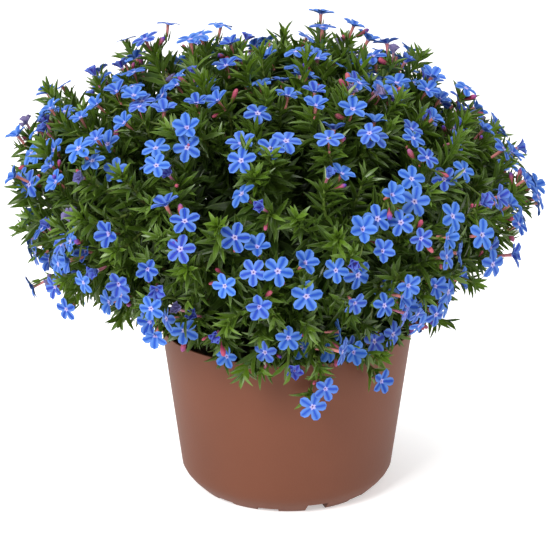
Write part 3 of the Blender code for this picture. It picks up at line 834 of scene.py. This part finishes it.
def drawn_form(segments, stations, squash=1.0):
    """A closed form along Y, drawn out of a circle through stations of (distance, half width)."""
    bm = bmesh.new()
    bmesh.ops.create_circle(bm, cap_ends=True, segments=segments, radius=1.0)
    turn_form(bm, math.radians(90.0), "X")
    cap = bm.faces[:]
    for _ in stations[1:]:
        cap = bmesh.ops.extrude_discrete_faces(bm, faces=cap)["faces"]
        bmesh.ops.translate(bm, verts=cap[0].verts[:], vec=(0.0, 1.0, 0.0))
    bmesh.ops.holes_fill(bm, edges=bm.edges[:], sides=0)
    map_grain(bm, lambda place: ((place.x + 1.0) / 2.0, place.y / (len(stations) - 1)))
    for vert in bm.verts:
        along, half = stations[round(vert.co.y)]
        vert.co = (vert.co.x * half, along, vert.co.z * half * squash)
    bmesh.ops.remove_doubles(bm, verts=bm.verts[:], dist=TINY)
    bmesh.ops.recalc_face_normals(bm, faces=bm.faces[:])
    return bm


def leaf_form(bend, fold):
    """A narrow folded blade of unit length and width, with its tip bent back."""
    bm = drawn_form(4, LEAF_STATIONS)
    for vert in bm.verts:
        side, along, rise = vert.co
        upper = LEAF_UPPER * max(0.0, rise / 0.5)
        lower = LEAF_LOWER * min(0.0, rise / 0.5)
        vert.co.z = upper + lower + fold * abs(side) * LEAF_FOLD - bend * along ** 2
    return bm


def petal_form(lift, curl, twist):
    """One lobe of a bloom of unit radius, lifted by an angle and curled at its sides."""
    last = len(PETAL_REACHES) - 1
    bm = bmesh.new()
    bmesh.ops.create_grid(bm, x_segments=2, y_segments=last, size=1.0)
    bmesh.ops.solidify(bm, geom=bm.faces[:], thickness=PETAL_THICKNESS)
    map_grain(bm, lambda place: ((place.x + 1.0) / 2.0, (place.y + 1.0) / 2.0))
    for vert in bm.verts:
        step = round((vert.co.y + 1.0) / 2.0 * last)
        side, half = vert.co.x, PETAL_WIDTHS[step]
        reach = PETAL_REACHES[step] + (PETAL_TIP if step == last else 0.0) * (1.0 - side * side)
        height = vert.co.z + curl * side * side * half + PETAL_ARCH * math.sin(reach * 3.0)
        height += twist * side * half * reach
        vert.co = (side * half, reach, height)
    turn_form(bm, lift, "X", (0.0, PETAL_REACHES[0], 0.0))
    bmesh.ops.recalc_face_normals(bm, faces=bm.faces[:])
    return bm


def bloom_form(lift, curl, twist, spread_out):
    """A bloom of unit radius: its lobes round Z, and below them the tube, throat and eye."""
    draw = random.Random(round(1000.0 * (lift + 3.0 * curl + 7.0 * twist)))
    parts = []
    for index in range(PETAL_COUNT):
        lobe = petal_form(lift + draw.uniform(-spread_out, spread_out), curl,
                          twist + draw.uniform(-spread_out, spread_out))
        turn_form(lobe, FULL_TURN * index / PETAL_COUNT, "Z")
        parts.append(lobe)
    tube = drawn_form(8, TUBE_STATIONS)
    turn_form(tube, math.radians(90.0), "X")
    move_form(tube, 0.0, 0.0, -1.0)
    for face in tube.faces:
        face.material_index = 1
    return joined(parts + [tube])


def calyx_form():
    """Narrow sepals of unit length round Y."""
    parts = []
    for index in range(PETAL_COUNT):
        sepal = drawn_form(3, SEPAL_STATIONS, SEPAL_SQUASH)
        turn_form(sepal, SEPAL_TILT, "X")
        move_form(sepal, 0.0, 0.0, -SEPAL_OFFSET)
        turn_form(sepal, FULL_TURN * index / PETAL_COUNT, "Y")
        parts.append(sepal)
    return joined(parts)


def read_array(values, name, count, kind=np.int64):
    """One number of every item in a mesh, as an array."""
    numbers = np.empty(count, dtype=kind)
    values.foreach_get(name, numbers)
    return numbers


class Form:
    """A repeated form as arrays: corners, faces, UV places and finish numbers."""

    def __init__(self, bm):
        mesh = bpy.data.meshes.new("form")
        bm.to_mesh(mesh)
        bm.free()
        corners = read_array(mesh.vertices, "co", len(mesh.vertices) * 3, float)
        self.corners = corners.reshape(-1, 3)
        self.loops = read_array(mesh.loops, "vertex_index", len(mesh.loops))
        self.starts = read_array(mesh.polygons, "loop_start", len(mesh.polygons))
        self.finishes = read_array(mesh.polygons, "material_index", len(mesh.polygons))
        grain = mesh.uv_layers["grain"].data
        self.grain = read_array(grain, "uv", len(mesh.loops) * 2, float)
        bpy.data.meshes.remove(mesh)


class Gathering:
    """Many copies of forms, joined into one piece."""

    def __init__(self):
        self.corners, self.loops, self.starts = [], [], []
        self.finishes, self.grain, self.tints = [], [], []
        self.corner_count = 0
        self.loop_count = 0

    def add(self, form, corners, tint):
        """One copy of a form with its corners put in place."""
        self.corners.append(corners)
        self.loops.append(form.loops + self.corner_count)
        self.starts.append(form.starts + self.loop_count)
        self.finishes.append(form.finishes)
        self.grain.append(form.grain)
        self.tints.append(np.tile((*tint, 1.0), len(form.corners)))
        self.corner_count += len(form.corners)
        self.loop_count += len(form.loops)

    def add_turned(self, form, place, turn, tint):
        """One copy of a form, turned and moved to its place round the pot's axis."""
        shift = np.array(settled(place) + POT_AXIS)
        self.add(form, form.corners @ np.array(turn).T + shift, tint)

    def make(self, name, materials, smooth_angle):
        """The joined piece as an object at the origin."""
        mesh = bpy.data.meshes.new(name)
        mesh.vertices.add(self.corner_count)
        mesh.vertices.foreach_set("co", np.concatenate(self.corners).ravel())
        mesh.loops.add(self.loop_count)
        mesh.loops.foreach_set("vertex_index", np.concatenate(self.loops))
        starts = np.concatenate(self.starts)
        mesh.polygons.add(len(starts))
        mesh.polygons.foreach_set("loop_start", starts)
        mesh.update(calc_edges=True)
        mesh.polygons.foreach_set("material_index", np.concatenate(self.finishes))
        mesh.polygons.foreach_set("use_smooth", np.ones(len(starts), dtype=bool))
        grain = mesh.uv_layers.new(name="grain")
        grain.data.foreach_set("uv", np.concatenate(self.grain))
        tint = mesh.attributes.new("tint", "FLOAT_COLOR", "POINT")
        tint.data.foreach_set("color", np.concatenate(self.tints))
        mesh.set_sharp_from_angle(angle=smooth_angle)
        mesh.validate()
        return link_piece(name, mesh, materials)


def link_piece(name, mesh, materials):
    """A mesh as an object in the scene."""
    for material in materials:
        mesh.materials.append(material)
    piece = bpy.data.objects.new(name, mesh)
    bpy.context.scene.collection.objects.link(piece)
    return piece


def link_form(name, bm, materials=()):
    """A form as an object in the scene."""
    mesh = bpy.data.meshes.new(name)
    bm.to_mesh(mesh)
    bm.free()
    return link_piece(name, mesh, materials)


def aimed(direction, scale, spin=0.0):
    """Turn and scale that bring Y to a direction."""
    one, _ = square_axes(direction)
    turned = Matrix.Rotation(spin, 3, direction) @ one
    return Matrix((turned * scale, direction * scale, turned.cross(direction) * scale)).transposed()


def facing_turn(direction, scale, spin):
    """Turn and scale that bring Z to a direction."""
    one, _ = square_axes(direction)
    turned = Matrix.Rotation(spin, 3, direction) @ one
    return Matrix((turned * scale, direction.cross(turned) * scale, direction * scale)).transposed()


def declare(piece, nodes):
    """Give a piece its body, and hide the nodes that it stands for."""
    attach(piece, "root")
    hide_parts(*nodes)


# Finishes


class Finish:
    """A material under construction, with short ways to add its nodes."""

    def __init__(self, name, roughness, specular):
        self.material = bpy.data.materials.new(name)
        self.material.use_nodes = True
        self.tree = self.material.node_tree
        self.shader = self.tree.nodes["Principled BSDF"]
        self.shader.inputs["Roughness"].default_value = roughness
        self.shader.inputs["Specular IOR Level"].default_value = specular

    def node(self, kind, **values):
        """A new node with some of its settings."""
        made = self.tree.nodes.new(kind)
        for key, value in values.items():
            setattr(made, key, value)
        return made

    def join(self, source, target):
        """Link one socket to another."""
        self.tree.links.new(source, target)

    def put(self, value, socket):
        """Link a socket, or set a plain value, on an input."""
        if isinstance(value, bpy.types.NodeSocket):
            self.join(value, socket)
        else:
            socket.default_value = value

    def parts(self, source):
        """The three parts of a vector socket."""
        made = self.node("ShaderNodeSeparateXYZ")
        self.join(source, made.inputs[0])
        return made.outputs[0], made.outputs[1], made.outputs[2]

    def tint(self):
        """The three tint values that each copy carries."""
        return self.parts(self.node("ShaderNodeAttribute", attribute_name="tint").outputs["Vector"])

    def grain(self):
        """Place across and along a blade, lobe or tube."""
        across, along, _ = self.parts(self.node("ShaderNodeUVMap", uv_map="grain").outputs[0])
        return across, along

    def off_middle(self, across):
        """Distance off the middle of a blade or lobe."""
        return self.maths("ABSOLUTE", self.maths("SUBTRACT", across, 0.5))

    def maths(self, operation, first, second=0.0):
        """A Math node."""
        made = self.node("ShaderNodeMath", operation=operation)
        self.put(first, made.inputs[0])
        self.put(second, made.inputs[1])
        return made.outputs[0]

    def between(self, value, low, high, start=0.0, end=1.0):
        """A smooth step of a value between two limits."""
        made = self.node("ShaderNodeMapRange", interpolation_type="SMOOTHSTEP")
        self.put(value, made.inputs["Value"])
        for name, number in (("From Min", low), ("From Max", high), ("To Min", start),
                             ("To Max", end)):
            made.inputs[name].default_value = number
        return made.outputs["Result"]

    def blend(self, share, first, second):
        """A mix of two colours."""
        made = self.node("ShaderNodeMix", data_type="RGBA")
        self.put(share, made.inputs[0])
        self.put(first, made.inputs[6])
        self.put(second, made.inputs[7])
        return made.outputs[2]

    def band(self, colour, other, value, low, high, start=0.0, end=1.0):
        """A colour that turns to another with a smooth step of a value."""
        return self.blend(self.between(value, low, high, start, end), colour, other)

    def mottle(self, colour, scale, strength):
        """The colour with fine light and dark patches on it, and their mask."""
        group = self.node("ShaderNodeGroup", node_tree=mottle_group())
        self.put(colour, group.inputs["Colour"])
        group.inputs["Scale"].default_value = scale
        group.inputs["Strength"].default_value = strength
        return group.outputs["Colour"], group.outputs["Mask"]

    def bump(self, height, strength, distance):
        """A low relief on the surface."""
        made = self.node("ShaderNodeBump")
        made.inputs["Strength"].default_value = strength
        made.inputs["Distance"].default_value = distance
        self.join(height, made.inputs["Height"])
        self.join(made.outputs[0], self.shader.inputs["Normal"])

    def colour(self, socket):
        """Use a socket as the surface colour."""
        self.join(socket, self.shader.inputs["Base Color"])
        return self.material


@functools.lru_cache(maxsize=None)
def mottle_group():
    """Node group: light and dark patches over a colour, and their mask."""
    tree = bpy.data.node_groups.new("Mottle", "ShaderNodeTree")
    sides = (("Colour", "INPUT", "NodeSocketColor"), ("Scale", "INPUT", "NodeSocketFloat"),
             ("Strength", "INPUT", "NodeSocketFloat"), ("Colour", "OUTPUT", "NodeSocketColor"),
             ("Mask", "OUTPUT", "NodeSocketFloat"))
    for name, side, kind in sides:
        tree.interface.new_socket(name=name, in_out=side, socket_type=kind)
    entry, leave = tree.nodes.new("NodeGroupInput"), tree.nodes.new("NodeGroupOutput")
    place = tree.nodes.new("ShaderNodeTexCoord")
    patches = tree.nodes.new("ShaderNodeTexNoise")
    patches.inputs["Detail"].default_value = 4.0
    spread_out = tree.nodes.new("ShaderNodeMapRange")
    spread_out.inputs["From Min"].default_value = 0.3
    spread_out.inputs["From Max"].default_value = 0.7
    amount = tree.nodes.new("ShaderNodeMath")
    amount.operation = "MULTIPLY"
    brighter = tree.nodes.new("ShaderNodeMath")
    brighter.operation = "SUBTRACT"
    brighter.inputs[0].default_value = 1.0
    darker = tree.nodes.new("ShaderNodeVectorMath")
    darker.operation = "SCALE"
    links = (
        (place.outputs["Object"], patches.inputs["Vector"]),
        (entry.outputs["Scale"], patches.inputs["Scale"]),
        (patches.outputs[0], spread_out.inputs["Value"]),
        (spread_out.outputs["Result"], amount.inputs[0]),
        (entry.outputs["Strength"], amount.inputs[1]),
        (amount.outputs[0], brighter.inputs[1]),
        (entry.outputs["Colour"], darker.inputs[0]),
        (brighter.outputs[0], darker.inputs["Scale"]),
        (darker.outputs[0], leave.inputs["Colour"]),
        (spread_out.outputs["Result"], leave.inputs["Mask"]),
    )
    for source, target in links:
        tree.links.new(source, target)
    return tree


def pot_plastic():
    """Matte rose-brown moulded plastic."""
    finish = Finish("pot_plastic", 0.55, 0.22)
    colour, _ = finish.mottle(tuple(settings().pot_colour), 22.0, 0.10)
    _, fine = finish.mottle(WHITE, 900.0, 0.1)
    finish.bump(fine, 0.12, 0.0002)
    return finish.colour(colour)


def potting_soil():
    """Dark crumbly soil."""
    finish = Finish("potting_soil", 0.95, 0.2)
    colour, crumbs = finish.mottle(SOIL_BROWN, 260.0, 0.65)
    finish.bump(crumbs, 0.6, 0.0012)
    return finish.colour(colour)


@functools.lru_cache(maxsize=None)
def leaf_green():
    """Leaves: dark to bright green, darker deep in the mound as painted shade and brighter at young
    tips, with a paler midrib, pale hairy margins and pale bristles that are partly painted glints.
    """
    finish = Finish("leaf_green", 0.36, 0.42)
    shade, hue, _ = finish.tint()
    across, along = finish.grain()
    off_centre = finish.off_middle(across)
    values = settings()
    # Painted shade: the shade value darkens leaves deep in the mound and lightens those at its
    # surface, together with the leaves' own young-to-old change
    colour = finish.blend(shade, tuple(values.shaded_old_leaf), tuple(values.lit_young_leaf))
    colour = finish.blend(finish.maths("MULTIPLY", hue, 0.22), colour, OLIVE)
    colour = finish.band(colour, LEAF_MARGIN, off_centre, 0.34, 0.5, 0.0, 0.42)
    colour = finish.band(colour, LEAF_RIB, off_centre, 0.0, 0.10, 0.30, 0.0)
    colour = finish.band(colour, LEAF_FOOT, along, 0.0, 0.35, 0.30, 0.0)
    colour, _ = finish.mottle(colour, 300.0, 0.22)
    # Pale bristles speckled over the leaf, partly their own colour and partly painted glints of
    # light
    _, hair_glints = finish.mottle(colour, 2600.0, 0.1)
    return finish.colour(finish.band(colour, BRISTLE_GLINT, hair_glints, 0.80, 1.0, 0.0, 0.45))


@functools.lru_cache(maxsize=None)
def stalk_green():
    """Stalks: light green young ones, brownish old ones."""
    finish = Finish("stalk_green", 0.6, 0.3)
    young, _, _ = finish.tint()
    colour, _ = finish.mottle(finish.blend(young, OLD_STALK, YOUNG_STALK), 260.0, 0.25)
    return finish.colour(colour)


@functools.lru_cache(maxsize=None)
def petal_blue():
    """Lobes: blue with a deeper stripe, paler margins and a pale foot, glowing faintly as painted
    light.
    """
    finish = Finish("petal_blue", 0.6, 0.12)
    values = settings()
    deep, violet, withered = finish.tint()
    across, along = finish.grain()
    off_centre = finish.off_middle(across)
    colour = finish.blend(deep, tuple(values.light_petal), tuple(values.deep_petal))
    colour = finish.blend(violet, colour, tuple(values.violet_petal))
    colour = finish.band(colour, PETAL_MARGIN, off_centre, 0.06, 0.36, 0.0, 0.54)
    middle = finish.between(off_centre, 0.02, 0.09, 0.72, 0.0)
    reach = finish.between(along, 0.55, 0.95, 1.0, 0.0)
    colour = finish.blend(finish.maths("MULTIPLY", middle, reach), colour, PETAL_STRIPE)
    colour = finish.band(colour, PETAL_FOOT, along, 0.0, 0.10, 0.70, 0.0)
    colour = finish.blend(withered, colour, WITHERED_PETAL)
    # Painted light: the lobes glow faintly in their own colour
    finish.join(colour, finish.shader.inputs["Emission Color"])
    finish.shader.inputs["Emission Strength"].default_value = PETAL_GLOW
    return finish.colour(colour)


@functools.lru_cache(maxsize=None)
def tube_pink():
    """Tube and throat: salmon outside, pale ring at the mouth, dark eye."""
    finish = Finish("tube_pink", 0.5, 0.3)
    _, along = finish.grain()
    _, violet, withered = finish.tint()
    tube = tuple(settings().tube_colour)
    colour = finish.blend(finish.maths("MULTIPLY", violet, 0.5), tube, VIOLET_TUBE)
    colour = finish.band(colour, THROAT_RING, along, 0.42, 0.52)
    colour = finish.band(colour, EYE, along, 0.80, 0.95)
    fading = finish.maths("MULTIPLY", withered, 0.7)
    return finish.colour(finish.blend(fading, colour, WITHERED_TUBE))


@functools.lru_cache(maxsize=None)
def bud_pink():
    """Buds: pink to magenta, some turning violet-blue at the tip."""
    finish = Finish("bud_pink", 0.5, 0.3)
    values = settings()
    hue, blue, _ = finish.tint()
    _, along = finish.grain()
    colour = finish.blend(finish.maths("MULTIPLY", hue, 0.5), tuple(values.bud_colour),
                          tuple(values.tube_colour))
    tip = finish.between(along, 0.35, 0.85)
    bluing = finish.maths("MULTIPLY", tip, finish.between(blue, 0.45, 0.75))
    return finish.colour(finish.blend(bluing, colour, tuple(values.violet_petal)))


# Pieces


def spun(profile, columns, start):
    """A closed outline of (radius, height) spun round the pot's axis."""
    bm = bmesh.new()
    verts = [bm.verts.new((radius, 0.0, height)) for radius, height in profile]
    edges = [bm.edges.new(pair) for pair in zip(verts, verts[1:])]
    turn_form(bm, start, "Z")
    bmesh.ops.spin(bm, geom=verts + edges, cent=(0.0, 0.0, 0.0), axis=UP,
                   angle=FULL_TURN, steps=columns, use_merge=True, use_duplicate=False)
    bmesh.ops.remove_doubles(bm, verts=bm.verts[:], dist=TINY)
    bmesh.ops.recalc_face_normals(bm, faces=bm.faces[:])
    return bm


def cut_away(piece, cutters):
    """Cut other objects out of a piece and remove them."""
    group = bpy.data.collections.new("cutters")
    bpy.context.scene.collection.children.link(group)
    for cutter in cutters:
        group.objects.link(cutter)
    modifier = piece.modifiers.new("Cut", "BOOLEAN")
    modifier.operation = "DIFFERENCE"
    modifier.operand_type = "COLLECTION"
    modifier.collection = group
    modifier.solver = "EXACT"
    depsgraph = bpy.context.evaluated_depsgraph_get()
    finished = bpy.data.meshes.new_from_object(piece.evaluated_get(depsgraph))
    piece.modifiers.clear()
    rough = piece.data
    piece.data = finished
    bpy.data.meshes.remove(rough)
    finished.name = piece.name
    for cutter in cutters:
        mesh = cutter.data
        bpy.data.objects.remove(cutter)
        bpy.data.meshes.remove(mesh)
    bpy.data.collections.remove(group)


def notch_cutter(angle, depth):
    """A block that cuts one notch up into the foot ring."""
    bm = bmesh.new()
    below = 0.004
    inner = POT_FOOT_RADIUS - 2.0 * FOOT_RING_WIDTH
    length = POT_TOP_RADIUS - inner
    width = 2.0 * math.tan(NOTCH_ANGLE / 2.0) * POT_FOOT_RADIUS
    bmesh.ops.create_cube(bm, size=1.0)
    bmesh.ops.scale(bm, verts=bm.verts[:], vec=(length, width, depth + below))
    move_form(bm, inner + length / 2.0, 0.0, (depth - below) / 2.0)
    turn_form(bm, angle, "Z")
    return link_form("cutter", bm)


def drain_cutter(angle):
    """A drum that cuts one drain hole."""
    bm = bmesh.new()
    bmesh.ops.create_cone(bm, cap_ends=True, segments=24, radius1=DRAIN_RADIUS,
                          radius2=DRAIN_RADIUS, depth=4.0 * POT_FLOOR_HEIGHT)
    move_form(bm, DRAIN_CIRCLE * math.cos(angle), DRAIN_CIRCLE * math.sin(angle), 0.0)
    return link_form("cutter", bm)


def pot_outline():
    """Outline of the pot from the middle of its underside round to the middle of its floor."""
    floor_top = POT_FLOOR_HEIGHT + POT_WALL
    ring_inner = POT_FOOT_RADIUS - FOOT_RING_WIDTH
    edge = POT_WALL / 4.0
    return [
        (0.0, POT_FLOOR_HEIGHT), (ring_inner - 0.0025, POT_FLOOR_HEIGHT),
        (ring_inner - 0.0005, 0.0008), (ring_inner, 0.0), (POT_FOOT_RADIUS - 0.0004, 0.0),
        (POT_FOOT_RADIUS + 0.0004, 0.0005), (0.0494, 0.0027), (0.0517, 0.0050),
        (0.0538, 0.0077), (POT_CORNER_RADIUS, POT_CORNER_HEIGHT),
        (wall_radius(0.0150), 0.0150), (wall_radius(0.0500), 0.0500),
        (wall_radius(POT_HEIGHT - 2.0 * edge), POT_HEIGHT - 2.0 * edge),
        (POT_TOP_RADIUS - edge / 2.0, POT_HEIGHT - edge / 2.0),
        (POT_TOP_RADIUS - 2.0 * edge, POT_HEIGHT),
        (POT_TOP_RADIUS - 3.5 * edge, POT_HEIGHT - edge / 2.0),
        (POT_TOP_RADIUS - POT_WALL, POT_HEIGHT - 2.0 * edge),
        (wall_radius(0.0500) - POT_WALL, 0.0500),
        (POT_CORNER_RADIUS - POT_WALL, POT_CORNER_HEIGHT + 0.0005),
        (0.0510, 0.0085), (0.0485, floor_top), (0.0, floor_top),
    ]


class LITHODORA_OT_pot(bpy.types.Operator):
    """Make the tapered pot with its rounded lower corner, notched foot and drain holes"""

    bl_idname = "lithodora.pot"
    bl_label = "Pot"

    def execute(self, context):
        bm = spun(pot_outline(), POT_COLUMNS, NOTCH_START)
        pot = link_form("moulded_pot", bm, [pot_plastic()])
        pitch = FULL_TURN / NOTCH_COUNT
        cutters = [notch_cutter(NOTCH_START + index * pitch,
                                SHALLOW_NOTCH if index % NOTCHES_TO_A_DEEP_ONE else DEEP_NOTCH)
                   for index in range(NOTCH_COUNT)]
        cutters += [drain_cutter(FULL_TURN * (index + 0.5) / DRAIN_COUNT)
                    for index in range(DRAIN_COUNT)]
        cut_away(pot, cutters)
        pot.data.transform(Matrix.Translation(POT_AXIS))
        pot.data.polygons.foreach_set("use_smooth", [True] * len(pot.data.polygons))
        pot.data.set_sharp_from_angle(angle=math.radians(32.0))
        declare(pot, ["pot"])
        return {"FINISHED"}


class LITHODORA_OT_soil(bpy.types.Operator):
    """Make the filling of potting soil with its crumbly top"""

    bl_idname = "lithodora.soil"
    bl_label = "Soil"

    def execute(self, context):
        floor = POT_FLOOR_HEIGHT + POT_WALL + SOIL_LIFT
        top_radius = wall_radius(SOIL_TOP) - SOIL_GAP
        profile = [(0.0, floor), (SOIL_FLOOR_RADIUS, floor),
                   (POT_CORNER_RADIUS - SOIL_GAP, POT_CORNER_HEIGHT + 0.001)]
        profile += [(top_radius * (SOIL_RINGS - step) / SOIL_RINGS, SOIL_TOP)
                    for step in range(SOIL_RINGS + 1)]
        bm = spun(profile, SOIL_COLUMNS, 0.0)
        for vert in bm.verts:
            radius = math.hypot(vert.co.x, vert.co.y)
            if vert.co.z > SOIL_TOP - TINY and radius < top_radius - TINY:
                lumps = noise.fractal(vert.co * LUMP_FREQUENCY, 1.0, 2.1, 4)
                clods = abs(noise.noise(vert.co * CLOD_FREQUENCY))
                vert.co.z += LUMP_HEIGHT * lumps + CLOD_HEIGHT * clods - SOIL_SINK
        soil = link_form("crumbly_soil", bm, [potting_soil()])
        soil.data.transform(Matrix.Translation(POT_AXIS))
        declare(soil, ["soil"])
        return {"FINISHED"}


class QuarterPieces:
    """One kind of piece for each quarter of the plant, made of what gather() puts in place."""

    def execute(self, context):
        gatherings = [Gathering() for _ in range(QUARTERS)]
        self.gather(grown_plant(), gatherings)
        materials = [finish() for finish in self.finishes]
        for quarter, gathering in enumerate(gatherings):
            piece = gathering.make(f"{self.kind}_{quarter + 1}", materials,
                                   math.radians(self.smooth_degrees))
            declare(piece, [node for owner, node in enumerate(NODES)
                                       if quarter_of(owner) == quarter])
        return {"FINISHED"}


class LITHODORA_OT_stalks(QuarterPieces, bpy.types.Operator):
    """Make the main stems and the shoots, a quarter of the plant at a time"""

    bl_idname = "lithodora.stalks"
    bl_label = "Stems and shoots"
    kind, slot, smooth_degrees, finishes = "stalks", "foliage", 80.0, (stalk_green,)

    def gather(self, plant, gatherings):
        """Draw a round form along each stalk."""
        stations = [(float(index), 1.0) for index in range(STALK_RINGS)]
        form = Form(drawn_form(STALK_SIDES, stations))
        rings = form.corners[:, 1].round().astype(int)
        for owner, points, thick, thin, tint in plant.stalks:
            total = row_length(points)
            centres, firsts, seconds = [], [], []
            first = None
            for index in range(STALK_RINGS):
                share = index / (STALK_RINGS - 1)
                place, axis = place_along(points, total * min(share, 0.999))
                if first is None:
                    first, _ = square_axes(axis)
                first = (first - axis * first.dot(axis)).normalized()
                radius = thick + (thin - thick) * share
                centres.append(settled(place) + POT_AXIS)
                firsts.append(first * radius)
                seconds.append(axis.cross(first) * radius)
            corners = (np.array(centres)[rings]
                       + np.array(firsts)[rings] * form.corners[:, 0:1]
                       - np.array(seconds)[rings] * form.corners[:, 2:3])
            gatherings[quarter_of(owner)].add(form, corners, (tint, 0.0, 0.0))


class LITHODORA_OT_leaves(QuarterPieces, bpy.types.Operator):
    """Make the narrow leaves, a quarter of the plant at a time"""

    bl_idname = "lithodora.leaves"
    bl_label = "Leaves"
    kind, slot, smooth_degrees, finishes = "leaves", "foliage", 40.0, (leaf_green,)

    def gather(self, plant, gatherings):
        """Put each leaf in place."""
        forms = [Form(leaf_form(bend, fold)) for bend, fold in LEAF_FORMS]
        for owner, form, base, turn, tint in plant.leaves:
            gatherings[quarter_of(owner)].add_turned(forms[form], base, turn, tint)


class LITHODORA_OT_blooms(QuarterPieces, bpy.types.Operator):
    """Make the five-lobed blooms with their tubes, a quarter of the plant at a time"""

    bl_idname = "lithodora.blooms"
    bl_label = "Blooms"
    kind, slot, smooth_degrees = "blooms", "petals_blue", 60.0
    finishes = (petal_blue, tube_pink)

    def gather(self, plant, gatherings):
        """Put each bloom in place, in one of the forms of its stage."""
        forms = {stage: (size, [Form(bloom_form(*shape)) for shape in shapes])
                 for stage, (size, shapes) in BLOOM_STAGES.items()}
        draw = random.Random(41)
        for owner, stage, place, facing, spin, tint in plant.blooms:
            size, choices = forms[stage]
            scale = settings().bloom_radius * size * draw.uniform(0.84, 1.07)
            turn = facing_turn(facing, scale, spin)
            gatherings[quarter_of(owner)].add_turned(draw.choice(choices), place, turn, tint)


class LITHODORA_OT_buds(QuarterPieces, bpy.types.Operator):
    """Make the closed buds, a quarter of the plant at a time"""

    bl_idname = "lithodora.buds"
    bl_label = "Buds"
    kind, slot, smooth_degrees, finishes = "buds", "petals_blue", 80.0, (bud_pink,)

    def gather(self, plant, gatherings):
        """Put each bud in place."""
        form = Form(drawn_form(6, BUD_STATIONS))
        for owner, place, aim, length, tint in plant.buds:
            gatherings[quarter_of(owner)].add_turned(form, place, aimed(aim, length), tint)


class LITHODORA_OT_calyces(QuarterPieces, bpy.types.Operator):
    """Make the narrow green sepals under blooms and buds, a quarter of the plant at a time"""

    bl_idname = "lithodora.calyces"
    bl_label = "Calyces"
    kind, slot, smooth_degrees, finishes = "calyces", "foliage", 50.0, (leaf_green,)

    def gather(self, plant, gatherings):
        """Put each calyx in place."""
        form = Form(calyx_form())
        draw = random.Random(43)
        for owner, place, aim, length, shade in plant.calyces:
            turn = aimed(aim, length, draw.uniform(0.0, FULL_TURN))
            gatherings[quarter_of(owner)].add_turned(form, place, turn, (shade, 0.3, 0.5))


def aim_at(thing, place, target):
    """Put a light or camera at a place, pointing at a target."""
    thing.location = place
    thing.rotation_euler = (target - place).to_track_quat("-Z", "Y").to_euler()


def soft_light(name, place, size, power, target):
    """A large square light."""
    light = bpy.data.lights.new(name, "AREA")
    light.shape = "SQUARE"
    light.size = size
    light.energy = power
    lamp = bpy.data.objects.new(name, light)
    bpy.context.scene.collection.objects.link(lamp)
    aim_at(lamp, Vector(place), target)


class LITHODORA_OT_stage(bpy.types.Operator):
    """Make the pale floor, the soft lights and the camera"""

    bl_idname = "lithodora.stage"
    bl_label = "Stage"

    def execute(self, context):
        scene = context.scene
        bm = bmesh.new()
        bmesh.ops.create_grid(bm, x_segments=1, y_segments=1, size=FLOOR_SIZE)
        paper = Finish("pale_floor", 0.9, 0.1)
        paper.shader.inputs["Base Color"].default_value = FLOOR_WHITE
        paper.shader.inputs["Emission Color"].default_value = WHITE
        paper.shader.inputs["Emission Strength"].default_value = FLOOR_GLOW
        floor = link_form("floor", bm, [paper.material])
        target = CAMERA_AIM + POT_AXIS
        for name, place, size, power in LIGHTS:
            soft_light(name, place, size, power, target)
        world = bpy.data.worlds.new("studio")
        world.use_nodes = True
        world.node_tree.nodes["Background"].inputs[0].default_value = WHITE
        world.node_tree.nodes["Background"].inputs[1].default_value = WORLD_LIGHT
        scene.world = world
        scene.view_settings.view_transform = "Standard"
        camera = bpy.data.objects.new("camera", bpy.data.cameras.new("camera"))
        camera.data.lens = CAMERA_LENS
        camera.data.sensor_width = CAMERA_SENSOR
        scene.collection.objects.link(camera)
        away = Vector((0.0, -math.cos(CAMERA_ELEVATION), math.sin(CAMERA_ELEVATION)))
        aim_at(camera, target + away * CAMERA_DISTANCE, target)
        scene.camera = camera
        return {"FINISHED"}


PIECES = (LITHODORA_OT_pot, LITHODORA_OT_soil, LITHODORA_OT_stalks, LITHODORA_OT_leaves,
          LITHODORA_OT_blooms, LITHODORA_OT_buds, LITHODORA_OT_calyces, LITHODORA_OT_stage)


class LITHODORA_PT_pieces(bpy.types.Panel):
    """The plant's settings and pieces"""

    bl_idname = "LITHODORA_PT_pieces"
    bl_label = "Potted Lithodora"
    bl_space_type = "VIEW_3D"
    bl_region_type = "UI"
    bl_category = "Lithodora"

    def draw(self, context):
        column = self.layout.column()
        for name in LithodoraSettings.__annotations__:
            column.prop(context.scene.lithodora, name)
        for piece in PIECES:
            column.operator(piece.bl_idname)


CLASSES = (LithodoraSettings, *PIECES, LITHODORA_PT_pieces)


def register():
    """Register the classes and the settings."""
    for one in CLASSES:
        bpy.utils.register_class(one)
    bpy.types.Scene.lithodora = PointerProperty(type=LithodoraSettings)


def unregister():
    """Remove the settings and the classes."""
    del bpy.types.Scene.lithodora
    for one in reversed(CLASSES):
        bpy.utils.unregister_class(one)


def main():
    """Build every piece in order."""
    register()
    for piece in PIECES:
        group, name = piece.bl_idname.split(".")
        getattr(getattr(bpy.ops, group), name)()


if __name__ == "__main__":
    main()
